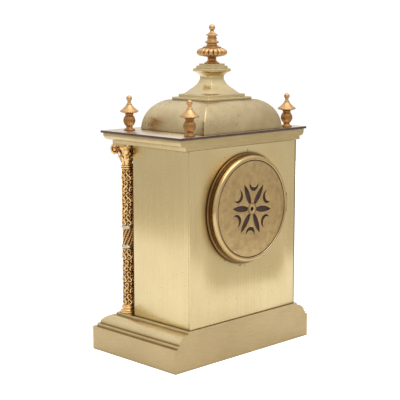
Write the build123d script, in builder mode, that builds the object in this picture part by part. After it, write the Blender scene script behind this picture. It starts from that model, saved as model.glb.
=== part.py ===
from build123d import *
import os
from math import atan2, cos, pi, radians, sin, sqrt, tau

# An architectural brass clock with corner columns, a domed roof and a pierced round door at the back.
# X runs across, -Y is the dial side, +Y the back door, +Z up.
# The origin is on the table, under the middle of the plinth. Millimetres throughout.

# ---------------------------------------------------------------- driving dimensions
PLINTH_HALF_WIDTH = 100.0
PLINTH_HALF_DEPTH = 63.3
PLINTH_HEIGHT = 39.8
PLINTH_WALL = 4.0
FLOOR_SHEET = 1.5
CASE_HALF_WIDTH = 78.6
CASE_BACK = 62.0
CASE_TOP = 218.3
SIDE_SHEET = 3.0
BACK_SHEET = 2.0
FRONT_SHEET = 2.4
SIDE_FRONT = -21.1
FRONT_FACE = -40.4
FRONT_HALF_WIDTH = 62.0
CORNICE_HEIGHT = 10.9
CORNICE_FRONT = 46.1
SLAB_SHEET = 2.4
SLAB_HALF_WIDTH = 93.0
SLAB_FRONT = -54.8
SLAB_BACK = 64.0
ROOF_MIDDLE = 13.9
DOME_HALF_WIDTH = 57.5
DOME_HALF_DEPTH = 46.5
DOME_HEIGHT = 30.8
ROOF_WALL = 2.0
COLUMN_X = 72.8
COLUMN_Y = -36.6
COLUMN_RADIUS = 5.4
COLUMN_FOOT_HEIGHT = 8.8
COLUMN_NECK = 191.5
MOVEMENT_Z = 154.0
PLATE_RADIUS = 44.0
PLATE_SHEET = 2.5
FRONT_PLATE_Y = -30.0
BACK_PLATE_Y = 6.5
RUNNING = 0.05
DOOR_RADIUS = 54.4
DOOR_Y = 66.7

BELOW = CASE_TOP + CORNICE_HEIGHT
SLAB_TOP = BELOW + SLAB_SHEET
DOME_TOP = SLAB_TOP + DOME_HEIGHT
FRONT_PLATE_BACK = FRONT_PLATE_Y + PLATE_SHEET
BACK_PLATE_BACK = BACK_PLATE_Y + PLATE_SHEET

# Tooth sides as (height in modules, width as a share of half a pitch), from root to tip.
WHEEL_TOOTH = [(-1.35, 0.46), (0.1, 0.43), (0.85, 0.16)]
PINION_LEAF = [(-1.35, 0.30), (0.1, 0.35), (0.6, 0.12)]

finished = []


def finish(piece, name):
    """Names a finished piece and keeps it to be written at the end."""
    piece.part.label = name
    finished.append(piece.part)


# ---------------------------------------------------------------- ways of making a piece
def turned_upright(outline, x=0, y=0):
    """Turned on an upright axis, from half an outline of (radius, height) corners."""
    with BuildPart() as piece:
        with BuildSketch(Plane((x, y, 0), (1, 0, 0), (0, -1, 0))):
            with BuildLine():
                Polyline(*outline, close=True)
            make_face()
        revolve(axis=Axis((x, y, 0), (0, 0, 1)))
    return piece.part


def turned_level(outline, x=0, z=0):
    """Turned on a front-to-back axis in the movement, from half an outline of (radius, y) corners."""
    with BuildPart() as piece:
        with BuildSketch(Plane((x, 0, MOVEMENT_Z + z), (1, 0, 0), (0, 0, 1))):
            with BuildLine():
                Polyline(*outline, close=True)
            make_face()
        revolve(axis=Axis((x, 0, MOVEMENT_Z + z), (0, 1, 0)))
    return piece.part


def mitred(moulding, half_width, front, back, spread_x, spread_y, flat_back=False):
    """A block whose moulding runs round the front and sides, and round the back unless that is flat."""
    with BuildPart() as piece:
        with BuildSketch(Plane.XZ):
            with BuildLine():
                right = moulding(half_width, 1, spread_x)
                left = moulding(half_width, -1, spread_x)
                Line(right[0], left[0])
                Line(right[1], left[1])
            make_face()
        extrude(amount=max(-front, back) + 1, both=True)
        with BuildSketch(Plane.YZ):
            with BuildLine():
                near = moulding(-front, -1, spread_y)
                if flat_back:
                    far = (back, near[0][1]), (back, near[1][1])
                    Line(*far)
                else:
                    far = moulding(back, 1, spread_y)
                Line(near[0], far[0])
                Line(near[1], far[1])
            make_face()
        extrude(amount=half_width + 1, both=True, mode=Mode.INTERSECT)
    return piece.part


def rod_y(x, z, radius, front, back, mode=Mode.ADD):
    """A round bar or bore from front to back, placed from the middle of the movement."""
    with Locations((x, (front + back) / 2, MOVEMENT_Z + z)):
        Cylinder(radius, back - front, rotation=(90, 0, 0), mode=mode)


def rod_z(x, y, radius, low, high, mode=Mode.ADD):
    """An upright round bar or bore."""
    with Locations((x, y, (low + high) / 2)):
        Cylinder(radius, high - low, mode=mode)


def block(x, y, z, mode=Mode.ADD):
    """A rectangular block between three pairs of faces."""
    with Locations(((x[0] + x[1]) / 2, (y[0] + y[1]) / 2, (z[0] + z[1]) / 2)):
        Box(abs(x[1] - x[0]), abs(y[1] - y[0]), abs(z[1] - z[0]), mode=mode)


def level(y, at=(0, 0), along=(1, 0)):
    """An upright drawing plane seen from the dial side, at a place in the movement."""
    return Plane((at[0], y, MOVEMENT_Z + at[1]), (along[0], 0, along[1]), (0, -1, 0))


def polar(distance, degrees, start=(0, 0)):
    angle = radians(degrees)
    return start[0] + distance * cos(angle), start[1] + distance * sin(angle)


# ---------------------------------------------------------------- plinth
def plinth_moulding(edge, side, spread):
    """Square side, two small steps, a rounded shoulder and a last step up to the flat top."""
    start = (side * edge, 0)
    step = [(0, 24.6), (3.3, 24.6), (3.3, 27.9), (5.7, 27.9), (5.7, 30.6)]
    Polyline(start, *[(side * (edge - inset), z) for inset, z in step])
    shoulder = [(5.7, 30.6), (10.4, 35.2), (15.4, 37.3)]
    foot, middle, head = [(side * (edge - inset), z) for inset, z in shoulder]
    ThreePointArc(foot, middle, head)
    end = (side * (edge - spread), PLINTH_HEIGHT)
    Polyline(head, (end[0], head[1]), end)
    return start, end


PLINTH_SPREAD = 17.8
hollow_x = PLINTH_HALF_WIDTH - PLINTH_SPREAD - PLINTH_WALL
hollow_front = -PLINTH_HALF_DEPTH + PLINTH_SPREAD + PLINTH_WALL
hollow_back = PLINTH_HALF_DEPTH - PLINTH_WALL
TOP_WEB = PLINTH_HEIGHT - PLINTH_WALL
tie_places = [(x, y) for x in (-73.0, 73.0) for y in (-15.0, 56.0)]
column_places = [(-COLUMN_X, COLUMN_Y), (COLUMN_X, COLUMN_Y)]
post_places = [(x, y) for x in (-58.0, 58.0) for y in (-32.0, 48.0)]
TIE_RADIUS = 2.0
POST_RADIUS = 4.0
SCREW_RADIUS = 1.5
SCREW_HEAD_RADIUS = 3.0

with BuildPart() as base_moulding:
    add(mitred(plinth_moulding, PLINTH_HALF_WIDTH, -PLINTH_HALF_DEPTH, PLINTH_HALF_DEPTH,
               PLINTH_SPREAD, PLINTH_SPREAD, flat_back=True))
    block((-hollow_x, hollow_x), (hollow_front, hollow_back), (0, TOP_WEB), mode=Mode.SUBTRACT)
    for x, y in post_places:
        rod_z(x, y, POST_RADIUS, FLOOR_SHEET, PLINTH_HEIGHT - 1)
        rod_z(x, y, SCREW_RADIUS, 0, 10, mode=Mode.SUBTRACT)
    for x, y in tie_places + column_places:
        rod_z(x, y, TIE_RADIUS, 0, PLINTH_HEIGHT + 1, mode=Mode.SUBTRACT)
finish(base_moulding, "base_moulding")

with BuildPart() as base_floor:
    block((-hollow_x, hollow_x), (hollow_front, hollow_back), (0, FLOOR_SHEET))
    for x, y in post_places:
        rod_z(x, y, SCREW_HEAD_RADIUS, 0, FLOOR_SHEET, mode=Mode.SUBTRACT)
finish(base_floor, "base_floor")

with BuildPart() as floor_screws:
    for x, y in post_places:
        rod_z(x, y, SCREW_HEAD_RADIUS, 0.1, FLOOR_SHEET)
        rod_z(x, y, SCREW_RADIUS, FLOOR_SHEET, 10)
finish(floor_screws, "floor_screws")

# ---------------------------------------------------------------- case
side_inner = CASE_HALF_WIDTH - SIDE_SHEET
back_inner = CASE_BACK - BACK_SHEET
COLLAR_RADIUS = 48.8
DIAL_TUBE_RADIUS = 46.9

with BuildPart() as side_panel_left:
    block((side_inner, CASE_HALF_WIDTH), (SIDE_FRONT, back_inner), (PLINTH_HEIGHT, CASE_TOP))
finish(side_panel_left, "side_panel_left")

with BuildPart() as side_panel_right:
    block((-CASE_HALF_WIDTH, -side_inner), (SIDE_FRONT, back_inner), (PLINTH_HEIGHT, CASE_TOP))
finish(side_panel_right, "side_panel_right")

with BuildPart() as back_plate:
    block((-CASE_HALF_WIDTH, CASE_HALF_WIDTH), (back_inner, CASE_BACK), (PLINTH_HEIGHT, CASE_TOP))
    rod_y(0, 0, COLLAR_RADIUS + RUNNING, back_inner - 1, CASE_BACK + 1, mode=Mode.SUBTRACT)
finish(back_plate, "back_plate")

front_inner = FRONT_FACE + FRONT_SHEET
with BuildPart() as front_plate:
    block((-FRONT_HALF_WIDTH, FRONT_HALF_WIDTH), (FRONT_FACE, front_inner), (PLINTH_HEIGHT, CASE_TOP))
    rod_y(0, 0, DIAL_TUBE_RADIUS + RUNNING, FRONT_FACE - 1, front_inner + 1, mode=Mode.SUBTRACT)
finish(front_plate, "front_plate")

ANGLE_SHEET = 2.0
with BuildPart() as corner_angles:
    for side in (-1, 1):
        outer = side * FRONT_HALF_WIDTH
        height = (PLINTH_HEIGHT, CASE_TOP)
        block((outer - side * ANGLE_SHEET, outer), (front_inner, SIDE_FRONT + ANGLE_SHEET), height)
        block((outer, side * side_inner), (SIDE_FRONT, SIDE_FRONT + ANGLE_SHEET), height)
finish(corner_angles, "corner_angles")


# ---------------------------------------------------------------- cornice, slab and roof
def cornice_moulding(edge, side, spread):
    """A square fillet, a small step out and a quarter round up to the slab."""
    fillet_top = CASE_TOP + 3.7
    corner = side * (edge + 1.5)
    rounded = side * (edge + spread)
    radius = spread - 1.5
    start = (side * edge, CASE_TOP)
    Polyline(start, (side * edge, fillet_top), (corner, fillet_top))
    lean = radius * sqrt(0.5)
    ThreePointArc((corner, fillet_top),
                  (corner + side * lean, fillet_top + radius - lean),
                  (rounded, fillet_top + radius))
    end = (rounded, BELOW)
    Line((rounded, fillet_top + radius), end)
    return start, end


CORNICE_SPREAD = 6.7
THREAD_DEPTH = 7.0
finial_places = [(x, y) for x in (-71.6, 71.6) for y in (-34.1, 54.3)]
FINIAL_STUD = 1.2
STUD_END = BELOW - 3.2
with BuildPart() as cornice:
    add(mitred(cornice_moulding, CASE_HALF_WIDTH + 5.7, -CORNICE_FRONT, CASE_BACK,
               CORNICE_SPREAD, CORNICE_SPREAD, flat_back=True))
    block((-68, 68), (-31, 51), (CASE_TOP - 1, BELOW + 1), mode=Mode.SUBTRACT)
    for x, y in tie_places + column_places:
        rod_z(x, y, TIE_RADIUS, CASE_TOP - 1, CASE_TOP + THREAD_DEPTH, mode=Mode.SUBTRACT)
    for x, y in finial_places:
        rod_z(x, y, FINIAL_STUD, STUD_END, BELOW + 1, mode=Mode.SUBTRACT)
finish(cornice, "cornice")

with BuildPart() as top_slab:
    block((-SLAB_HALF_WIDTH, SLAB_HALF_WIDTH), (SLAB_FRONT, SLAB_BACK), (BELOW, SLAB_TOP))
    chamfer(top_slab.edges().group_by(Axis.Z)[-1], length=0.4)
    for x, y in finial_places:
        rod_z(x, y, FINIAL_STUD, BELOW - 1, SLAB_TOP + 1, mode=Mode.SUBTRACT)
finish(top_slab, "top_slab")


def dome_curve(edge, side, spread, height=DOME_HEIGHT):
    """A quarter ellipse that rises straight from the slab and rolls in to the pedestal."""
    start = (side * edge, SLAB_TOP)
    end = (side * (edge - spread), SLAB_TOP + height)
    lean = sqrt(0.5)
    shoulder = (side * (edge - spread + spread * lean), SLAB_TOP + height * lean)
    Spline(start, shoulder, end, tangents=((0, 1), (-side, 0)))
    return start, end


def dome_hollow(edge, side, spread):
    return dome_curve(edge, side, spread, DOME_HEIGHT - ROOF_WALL)


DOME_SPREAD_X = 25.7
DOME_SPREAD_Y = 19.9
STUD_RADIUS = 1.5

with BuildPart() as dome:
    with Locations((0, ROOF_MIDDLE, 0)):
        add(mitred(dome_curve, DOME_HALF_WIDTH, -DOME_HALF_DEPTH, DOME_HALF_DEPTH,
                   DOME_SPREAD_X, DOME_SPREAD_Y))
        add(mitred(dome_hollow, DOME_HALF_WIDTH - ROOF_WALL, ROOF_WALL - DOME_HALF_DEPTH,
                   DOME_HALF_DEPTH - ROOF_WALL, DOME_SPREAD_X, DOME_SPREAD_Y), mode=Mode.SUBTRACT)
    rod_z(0, ROOF_MIDDLE, STUD_RADIUS, SLAB_TOP, DOME_TOP + 1, mode=Mode.SUBTRACT)
finish(dome, "dome")

FIRST_STEP = DOME_TOP + 2.7
NECK_FOOT = FIRST_STEP + 3.0
NECK_HALF_WIDTH = 24.3
NECK_HALF_DEPTH = 19.3
WAIST = 8.7
CAP_HALF_WIDTH = 9.4


def neck_moulding(edge, side, spread):
    """A waist that sweeps in from the steps, flares to a square cap and steps in under the finial."""
    start = (side * edge, NECK_FOOT)
    narrow = (side * WAIST, NECK_FOOT + 16.5)
    Spline(start, (side * (WAIST + spread * 0.23), NECK_FOOT + 9.0), narrow, tangents=((-side, 0.35), (0, 1)))
    flare = (side * 12.3, NECK_FOOT + 22.4)
    ThreePointArc(narrow, (side * (WAIST + 1.0), NECK_FOOT + 20.0), flare)
    cap = [(13.9, 22.4), (13.9, 26.2), (11.5, 26.9), (11.5, 28.9),
           (CAP_HALF_WIDTH, 28.9), (CAP_HALF_WIDTH, 30.9)]
    Polyline(flare, *[(side * reach, NECK_FOOT + rise) for reach, rise in cap])
    return start, (side * CAP_HALF_WIDTH, NECK_FOOT + 30.9)


CAP_TOP = NECK_FOOT + 30.9
with BuildPart() as dome_pedestal:
    block((-31.8, 31.8), (ROOF_MIDDLE - 26.6, ROOF_MIDDLE + 26.6), (DOME_TOP, FIRST_STEP))
    block((-27.0, 27.0), (ROOF_MIDDLE - 21.7, ROOF_MIDDLE + 21.7), (FIRST_STEP, NECK_FOOT))
    with Locations((0, ROOF_MIDDLE, 0)):
        add(mitred(neck_moulding, NECK_HALF_WIDTH, -NECK_HALF_DEPTH, NECK_HALF_DEPTH,
                   NECK_HALF_WIDTH - WAIST, NECK_HALF_DEPTH - WAIST))
    rod_z(0, ROOF_MIDDLE, STUD_RADIUS, DOME_TOP - 1, CAP_TOP + 1, mode=Mode.SUBTRACT)
finish(dome_pedestal, "dome_pedestal")

# ---------------------------------------------------------------- finials
MAIN_FINIAL = [
    (0, 0), (8.0, 0), (8.0, 1.0), (6.4, 2.4), (4.4, 3.4), (4.4, 5.8),
    (7.9, 7.2), (14.5, 9.2), (15.8, 11.4), (15.4, 13.6), (12.6, 15.9), (9.1, 17.2), (5.1, 20.2),
    (7.5, 21.8), (7.5, 23.2), (4.9, 24.2), (4.9, 26.4), (4.2, 27.6), (6.3, 28.8), (6.3, 29.4),
    (2.1, 32.4), (1.7, 33.4), (3.2, 35.1), (3.3, 36.7), (2.2, 39.2), (0, 40.0),
]
CORNER_FINIAL = [
    (0, 0), (5.8, 0), (5.8, 1.5), (3.3, 3.8), (5.0, 7.0), (6.25, 10.5), (5.6, 13.4), (3.8, 16.4), (3.8, 17.6),
    (9.6, 18.6), (9.6, 19.7), (2.5, 26.4), (1.7, 28.9), (2.9, 31.0), (3.0, 33.2), (2.0, 35.1), (0, 35.6),
]

with BuildPart() as main_finial:
    add(turned_upright([(radius, CAP_TOP + rise) for radius, rise in MAIN_FINIAL], 0, ROOF_MIDDLE))
    rod_z(0, ROOF_MIDDLE, STUD_RADIUS, DOME_TOP - ROOF_WALL - 4, CAP_TOP)
finish(main_finial, "main_finial")

with BuildPart() as corner_finials:
    for x, y in finial_places:
        add(turned_upright([(radius, SLAB_TOP + rise) for radius, rise in CORNER_FINIAL], x, y))
        rod_z(x, y, FINIAL_STUD, STUD_END, SLAB_TOP)
finish(corner_finials, "corner_finials")

# ---------------------------------------------------------------- corner columns
FOOT_TOP = PLINTH_HEIGHT + COLUMN_FOOT_HEIGHT
COLUMN_FOOT = [(9.1, 0), (9.1, 2.2), (7.4, 3.0), (6.6, 4.6), (7.6, 5.8), (7.6, 7.6), (5.6, 8.8)]
COLUMN_CAPITAL = [(7.1, 0), (7.1, 3.5), (5.4, 5.0), (6.2, 11.5), (9.0, 18.5), (10.0, 23.0)]
RING_HEIGHTS = (110.5, 131.0)
RING_RADIUS = 6.9
ABACUS_SHEET = 3.8

with BuildPart() as column_feet:
    for x, y in column_places:
        outline = [(radius, PLINTH_HEIGHT + rise) for radius, rise in COLUMN_FOOT]
        add(turned_upright([(TIE_RADIUS, PLINTH_HEIGHT), *outline, (TIE_RADIUS, FOOT_TOP)], x, y))
finish(column_feet, "column_feet")

with BuildPart() as column_shafts:
    for x, y in column_places:
        rod_z(x, y, COLUMN_RADIUS, FOOT_TOP, COLUMN_NECK)
        rod_z(x, y, TIE_RADIUS, FOOT_TOP - 1, COLUMN_NECK + 1, mode=Mode.SUBTRACT)
finish(column_shafts, "column_shafts")

with BuildPart() as column_rings:
    for x, y in column_places:
        for z in RING_HEIGHTS:
            outline = [(COLUMN_RADIUS, -1.8), (6.2, -1.8), (RING_RADIUS, 0), (6.2, 1.8), (COLUMN_RADIUS, 1.8)]
            add(turned_upright([(radius, z + rise) for radius, rise in outline], x, y))
finish(column_rings, "column_rings")

with BuildPart() as column_capitals:
    for x, y in column_places:
        outline = [(radius, COLUMN_NECK + rise) for radius, rise in COLUMN_CAPITAL]
        add(turned_upright([(TIE_RADIUS, COLUMN_NECK), *outline, (TIE_RADIUS, COLUMN_NECK + 23.0)], x, y))
    for side in (-1, 1):
        block((side * (FRONT_HALF_WIDTH + 0.4), side * 84.8), (-47.8, SIDE_FRONT - 1.5),
              (CASE_TOP - ABACUS_SHEET, CASE_TOP))
        rod_z(side * COLUMN_X, COLUMN_Y, TIE_RADIUS, COLUMN_NECK, CASE_TOP + 1, mode=Mode.SUBTRACT)
finish(column_capitals, "column_capitals")

NUT_HEIGHT = 3.0
with BuildPart() as tie_rods:
    for x, y in tie_places + column_places:
        rod_z(x, y, TIE_RADIUS, TOP_WEB - NUT_HEIGHT - 1, CASE_TOP + THREAD_DEPTH)
finish(tie_rods, "tie_rods")

with BuildPart() as tie_nuts:
    for x, y in tie_places + column_places:
        with BuildSketch(Plane((x, y, TOP_WEB - NUT_HEIGHT))):
            RegularPolygon(3.6, 6)
            Circle(TIE_RADIUS, mode=Mode.SUBTRACT)
        extrude(amount=NUT_HEIGHT)
    with BuildSketch(Plane((0, ROOF_MIDDLE, DOME_TOP - ROOF_WALL - 2.5))):
        RegularPolygon(3.2, 6)
        Circle(STUD_RADIUS, mode=Mode.SUBTRACT)
    extrude(amount=2.5)
finish(tie_nuts, "tie_nuts")

# ---------------------------------------------------------------- back door: collar, bezel, pierced disc
LIP_RADIUS = 43.4
with BuildPart() as rear_collar:
    add(turned_level([
        (LIP_RADIUS, 50), (COLLAR_RADIUS, 50), (COLLAR_RADIUS, CASE_BACK), (56.5, CASE_BACK),
        (56.5, 63.5), (56.0, 64.0), (53.3, 64.2), (54.3, 64.6), (54.3, 65.2), (53.3, 65.6), (53.9, 65.8),
        (53.9, 66.4), (46.8, 66.4), (46.8, 52), (LIP_RADIUS, 52),
    ]))
    REAR_HINGE = (-56.6, 66.5)
    for low, high in ((-10.0, -6.0), (6.0, 10.0)):
        block((REAR_HINGE[0], -51.4), (62.3, 65.2), (MOVEMENT_Z + low, MOVEMENT_Z + high))
        rod_z(*REAR_HINGE, 1.9, MOVEMENT_Z + low, MOVEMENT_Z + high)
        rod_z(*REAR_HINGE, 1.0, MOVEMENT_Z + low, MOVEMENT_Z + high, mode=Mode.SUBTRACT)
    for side in (-1, 1):
        rod_y(side * 44.6, 0, 1.0, 49, 53, mode=Mode.SUBTRACT)
finish(rear_collar, "rear_collar")

DISC_RADIUS = 50.0
with BuildPart() as rear_bezel:
    with BuildSketch(Plane.XY.offset(MOVEMENT_Z)):
        with BuildLine():
            Polyline((DISC_RADIUS, 71.7), (DISC_RADIUS, 70.0), (46.5, 70.0), (46.5, DOOR_Y), (53.4, DOOR_Y),
                     (53.4, 67.8), (DOOR_RADIUS, 68.6), (DOOR_RADIUS, 69.3))
            ThreePointArc((DOOR_RADIUS, 69.3), (53.4, 71.5), (51.3, 72.3))
            ThreePointArc((51.3, 72.3), (50.5, 72.15), (DISC_RADIUS, 71.7))
        make_face()
    revolve(axis=Axis((0, 0, MOVEMENT_Z), (0, 1, 0)))
    block((REAR_HINGE[0], -52.6), (66.8, 69.6), (MOVEMENT_Z - 5.7, MOVEMENT_Z + 5.7))
    rod_z(*REAR_HINGE, 1.9, MOVEMENT_Z - 5.7, MOVEMENT_Z + 5.7)
    rod_z(*REAR_HINGE, 1.0 + RUNNING, MOVEMENT_Z - 5.7, MOVEMENT_Z + 5.7, mode=Mode.SUBTRACT)
    rod_y(0, 0, DISC_RADIUS, 70.0, 71.7, mode=Mode.SUBTRACT)
finish(rear_bezel, "rear_bezel")

PETAL = [(6.3, -1.6), (6.3, 1.6), (16.0, 3.2), (28.5, 0.0), (16.0, -3.2)]
CRESCENT = [(27.2, 6.4), (18.2, 0.0), (27.2, -6.4), (22.0, 0.0)]
PATTERN_TURN = 6


def turned_corners(corners, degrees):
    """Flat corners turned about the middle of the disc."""
    turn = radians(degrees)
    return [(x * cos(turn) - z * sin(turn), x * sin(turn) + z * cos(turn)) for x, z in corners]


with BuildPart() as rear_fret:
    rod_y(0, 0, DISC_RADIUS - RUNNING, 70.0, 71.6)
    with BuildSketch(level(72.5)):
        Circle(2.2)
        for degrees in range(PATTERN_TURN, 360, 60):
            inner, start, upper, point, lower = turned_corners(PETAL, degrees)
            with BuildLine():
                Line(inner, start)
                ThreePointArc(start, upper, point)
                ThreePointArc(point, lower, inner)
            make_face()
            first, outside, second, inside = turned_corners(CRESCENT, degrees + 30)
            with BuildLine():
                ThreePointArc(first, outside, second)
                ThreePointArc(second, inside, first)
            make_face()
    extrude(amount=3, mode=Mode.SUBTRACT)
finish(rear_fret, "rear_fret")

# ---------------------------------------------------------------- front: collar, dial, bezel, glass
FRONT_HINGE = (55.3, -42.8)
LUG_ANGLES = (90, 210, 330)
LUG_RADIUS = 42.2
LUG_BACK = FRONT_PLATE_Y
with BuildPart() as front_collar:
    add(turned_level([
        (DIAL_TUBE_RADIUS, FRONT_FACE), (52, FRONT_FACE), (52, -42.4), (44.6, -42.4), (44.6, -38.0),
        (41, -38.0), (41, -36.5), (DIAL_TUBE_RADIUS, -36.5),
    ]))
    for degrees in LUG_ANGLES:
        rod_y(*polar(LUG_RADIUS, degrees), 1.7, -36.6, LUG_BACK)
        rod_y(*polar(LUG_RADIUS, degrees), 0.8, -36.0, LUG_BACK, mode=Mode.SUBTRACT)
    for low, high in ((-10.0, -6.0), (6.0, 10.0)):
        block((51.0, FRONT_HINGE[0]), (-42.3, -40.6), (MOVEMENT_Z + low, MOVEMENT_Z + high))
        rod_z(*FRONT_HINGE, 1.7, MOVEMENT_Z + low, MOVEMENT_Z + high)
        rod_z(*FRONT_HINGE, 0.9, MOVEMENT_Z + low, MOVEMENT_Z + high, mode=Mode.SUBTRACT)
finish(front_collar, "front_collar")

with BuildPart() as front_bezel:
    add(turned_level([
        (46.5, -42.6), (53, -42.6), (53, -45.0), (51.2, -47.4), (47.5, -48.6), (43.5, -47.8), (43.5, -46.6),
        (46.5, -46.6),
    ]))
    block((52.2, FRONT_HINGE[0]), (-45.4, -43.0), (MOVEMENT_Z - 5.7, MOVEMENT_Z + 5.7))
    rod_z(*FRONT_HINGE, 1.7, MOVEMENT_Z - 5.7, MOVEMENT_Z + 5.7)
    rod_z(*FRONT_HINGE, 0.9 + RUNNING, MOVEMENT_Z - 5.7, MOVEMENT_Z + 5.7, mode=Mode.SUBTRACT)
finish(front_bezel, "front_bezel")

with BuildPart() as front_glass:
    rod_y(0, 0, 46.45, -46.6, -45.0)
finish(front_glass, "front_glass")

with BuildPart() as hinge_pins:
    for place, radius in ((REAR_HINGE, 1.0), (FRONT_HINGE, 0.9)):
        rod_z(*place, radius, MOVEMENT_Z - 10.4, MOVEMENT_Z + 10.4)
finish(hinge_pins, "hinge_pins")

# ---------------------------------------------------------------- where the arbors stand
# Each wheel drives the next one's pinion; places are from the middle of the movement, as seen from the dial.
BARREL_TEETH, BARREL_MODULE = 76, 0.5
SLOW_LEAVES = 12
SLOW_TEETH, SLOW_MODULE = 60, 0.5
CENTRE_LEAVES = 8
CENTRE_TEETH, CENTRE_MODULE = 64, 0.42
THIRD_LEAVES = 8
THIRD_TEETH, THIRD_MODULE = 60, 0.4
FOURTH_LEAVES = 8
FOURTH_TEETH, FOURTH_MODULE = 70, 0.33
ESCAPE_LEAVES = 7
MOTION_MODULE = 0.5
CANNON_LEAVES, REVERSE_TEETH, REVERSE_LEAVES, HOUR_TEETH = 10, 30, 8, 32


def centres(teeth, leaves, module):
    """The distance between two meshed arbors."""
    return (teeth + leaves) * module / 2


def meshed(here, there, phase, teeth, other_teeth):
    """The angle of a tooth on the second wheel that meshes with the first, whose tooth stands at phase."""
    line = atan2(there[1] - here[1], there[0] - here[0])
    passed = (line - phase) * teeth / tau
    return line + pi - (0.5 - passed) * tau / other_teeth


CENTRE = (0.0, 0.0)
SLOW = polar(centres(SLOW_TEETH, CENTRE_LEAVES, SLOW_MODULE), -25)
barrel_drop = sqrt(centres(BARREL_TEETH, SLOW_LEAVES, BARREL_MODULE) ** 2 - SLOW[0] ** 2)
BARREL = (0.0, SLOW[1] - barrel_drop)
THIRD = polar(centres(CENTRE_TEETH, THIRD_LEAVES, CENTRE_MODULE), 135)
FOURTH = polar(centres(THIRD_TEETH, FOURTH_LEAVES, THIRD_MODULE), 30, THIRD)
ESCAPE = polar(centres(FOURTH_TEETH, ESCAPE_LEAVES, FOURTH_MODULE), 25, FOURTH)
PALLET = (ESCAPE[0] - 6.5, ESCAPE[1])
BALANCE = (PALLET[0] - 8.5, PALLET[1])
REVERSE = (-centres(REVERSE_TEETH, CANNON_LEAVES, MOTION_MODULE), 0.0)
HAMMER = (31.0, -16.0)
BELL = (0.0, -10.0)
PILLARS = [polar(40.0, degrees) for degrees in (45, 135, 215, 325)]

slow_pinion_phase = meshed(BARREL, SLOW, 0, BARREL_TEETH, SLOW_LEAVES)
centre_pinion_phase = meshed(SLOW, CENTRE, 0, SLOW_TEETH, CENTRE_LEAVES)
third_pinion_phase = meshed(CENTRE, THIRD, 0, CENTRE_TEETH, THIRD_LEAVES)
fourth_pinion_phase = meshed(THIRD, FOURTH, 0, THIRD_TEETH, FOURTH_LEAVES)
escape_pinion_phase = meshed(FOURTH, ESCAPE, 0, FOURTH_TEETH, ESCAPE_LEAVES)
reverse_phase = meshed(CENTRE, REVERSE, 0, CANNON_LEAVES, REVERSE_TEETH)
hour_phase = meshed(REVERSE, CENTRE, 0, REVERSE_LEAVES, HOUR_TEETH)


def toothed_disc(teeth, module, phase, tooth, at, front, back):
    """A flat wheel or pinion with its teeth, solid to the middle."""
    pitch_radius = teeth * module / 2
    flank = [(pitch_radius + rise * module, width * pi / teeth) for rise, width in tooth]
    corners = []
    for number in range(teeth):
        middle = phase + number * tau / teeth
        sides = [(radius, middle - half) for radius, half in flank]
        sides += [(radius, middle + half) for radius, half in reversed(flank)]
        corners += [(radius * cos(angle), radius * sin(angle)) for radius, angle in sides]
    with BuildPart() as disc:
        with BuildSketch(level(back, at)):
            with BuildLine():
                Polyline(*corners, close=True)
            make_face()
        extrude(amount=back - front)
    return disc.part


def crossings(at, rim, hub, front, back, count=5, spoke=1.6):
    """The windows between a wheel's spokes."""
    with BuildPart() as windows:
        with BuildSketch(level(back, at)):
            Circle(rim)
            Circle(hub, mode=Mode.SUBTRACT)
            with PolarLocations(rim / 2, count):
                Rectangle(rim + 2, spoke, mode=Mode.SUBTRACT)
        extrude(amount=back - front)
    return windows.part


# ---------------------------------------------------------------- movement frame
PIVOT = 0.6
LARGE_PIVOT = 0.8
BARREL_PIVOT = 2.2
TENON = 1.2
with BuildPart() as movement_front_plate:
    rod_y(0, 0, PLATE_RADIUS, FRONT_PLATE_Y, FRONT_PLATE_BACK)
    for place, radius in [
        (CENTRE, 1.2), (BARREL, BARREL_PIVOT), (SLOW, PIVOT), (THIRD, PIVOT), (FOURTH, PIVOT), (HAMMER, 1.0),
    ]:
        rod_y(*place, radius + RUNNING, FRONT_PLATE_Y - 1, FRONT_PLATE_BACK + 1, mode=Mode.SUBTRACT)
    for place in PILLARS:
        rod_y(*place, TENON, FRONT_PLATE_Y - 1, FRONT_PLATE_BACK + 1, mode=Mode.SUBTRACT)
    for degrees in LUG_ANGLES:
        rod_y(*polar(LUG_RADIUS, degrees), 0.8, FRONT_PLATE_Y - 1, FRONT_PLATE_BACK + 1, mode=Mode.SUBTRACT)
    rod_y(*REVERSE, 0.9, -37.2, FRONT_PLATE_Y)
finish(movement_front_plate, "movement_front_plate")

PAWL = (-9.4, BARREL[1] + 9.5)
with BuildPart() as movement_back_plate:
    rod_y(0, 0, PLATE_RADIUS, BACK_PLATE_Y, BACK_PLATE_BACK)
    for place, radius in [
        (CENTRE, LARGE_PIVOT), (BARREL, BARREL_PIVOT), (SLOW, PIVOT), (THIRD, PIVOT), (FOURTH, PIVOT),
        (HAMMER, 1.0), (ESCAPE, 2.2),
    ]:
        rod_y(*place, radius + RUNNING, BACK_PLATE_Y - 1, BACK_PLATE_BACK + 1, mode=Mode.SUBTRACT)
    for place in PILLARS:
        rod_y(*place, TENON, BACK_PLATE_Y - 1, BACK_PLATE_BACK + 1, mode=Mode.SUBTRACT)
    rod_y(*PAWL, 0.9, BACK_PLATE_BACK, 12.0)
finish(movement_back_plate, "movement_back_plate")

PILLAR_NUT_BACK = 11.4
with BuildPart() as plate_pillars:
    for place in PILLARS:
        rod_y(*place, 2.2, FRONT_PLATE_BACK, BACK_PLATE_Y)
        rod_y(*place, TENON, FRONT_PLATE_Y, PILLAR_NUT_BACK)
finish(plate_pillars, "plate_pillars")

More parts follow.
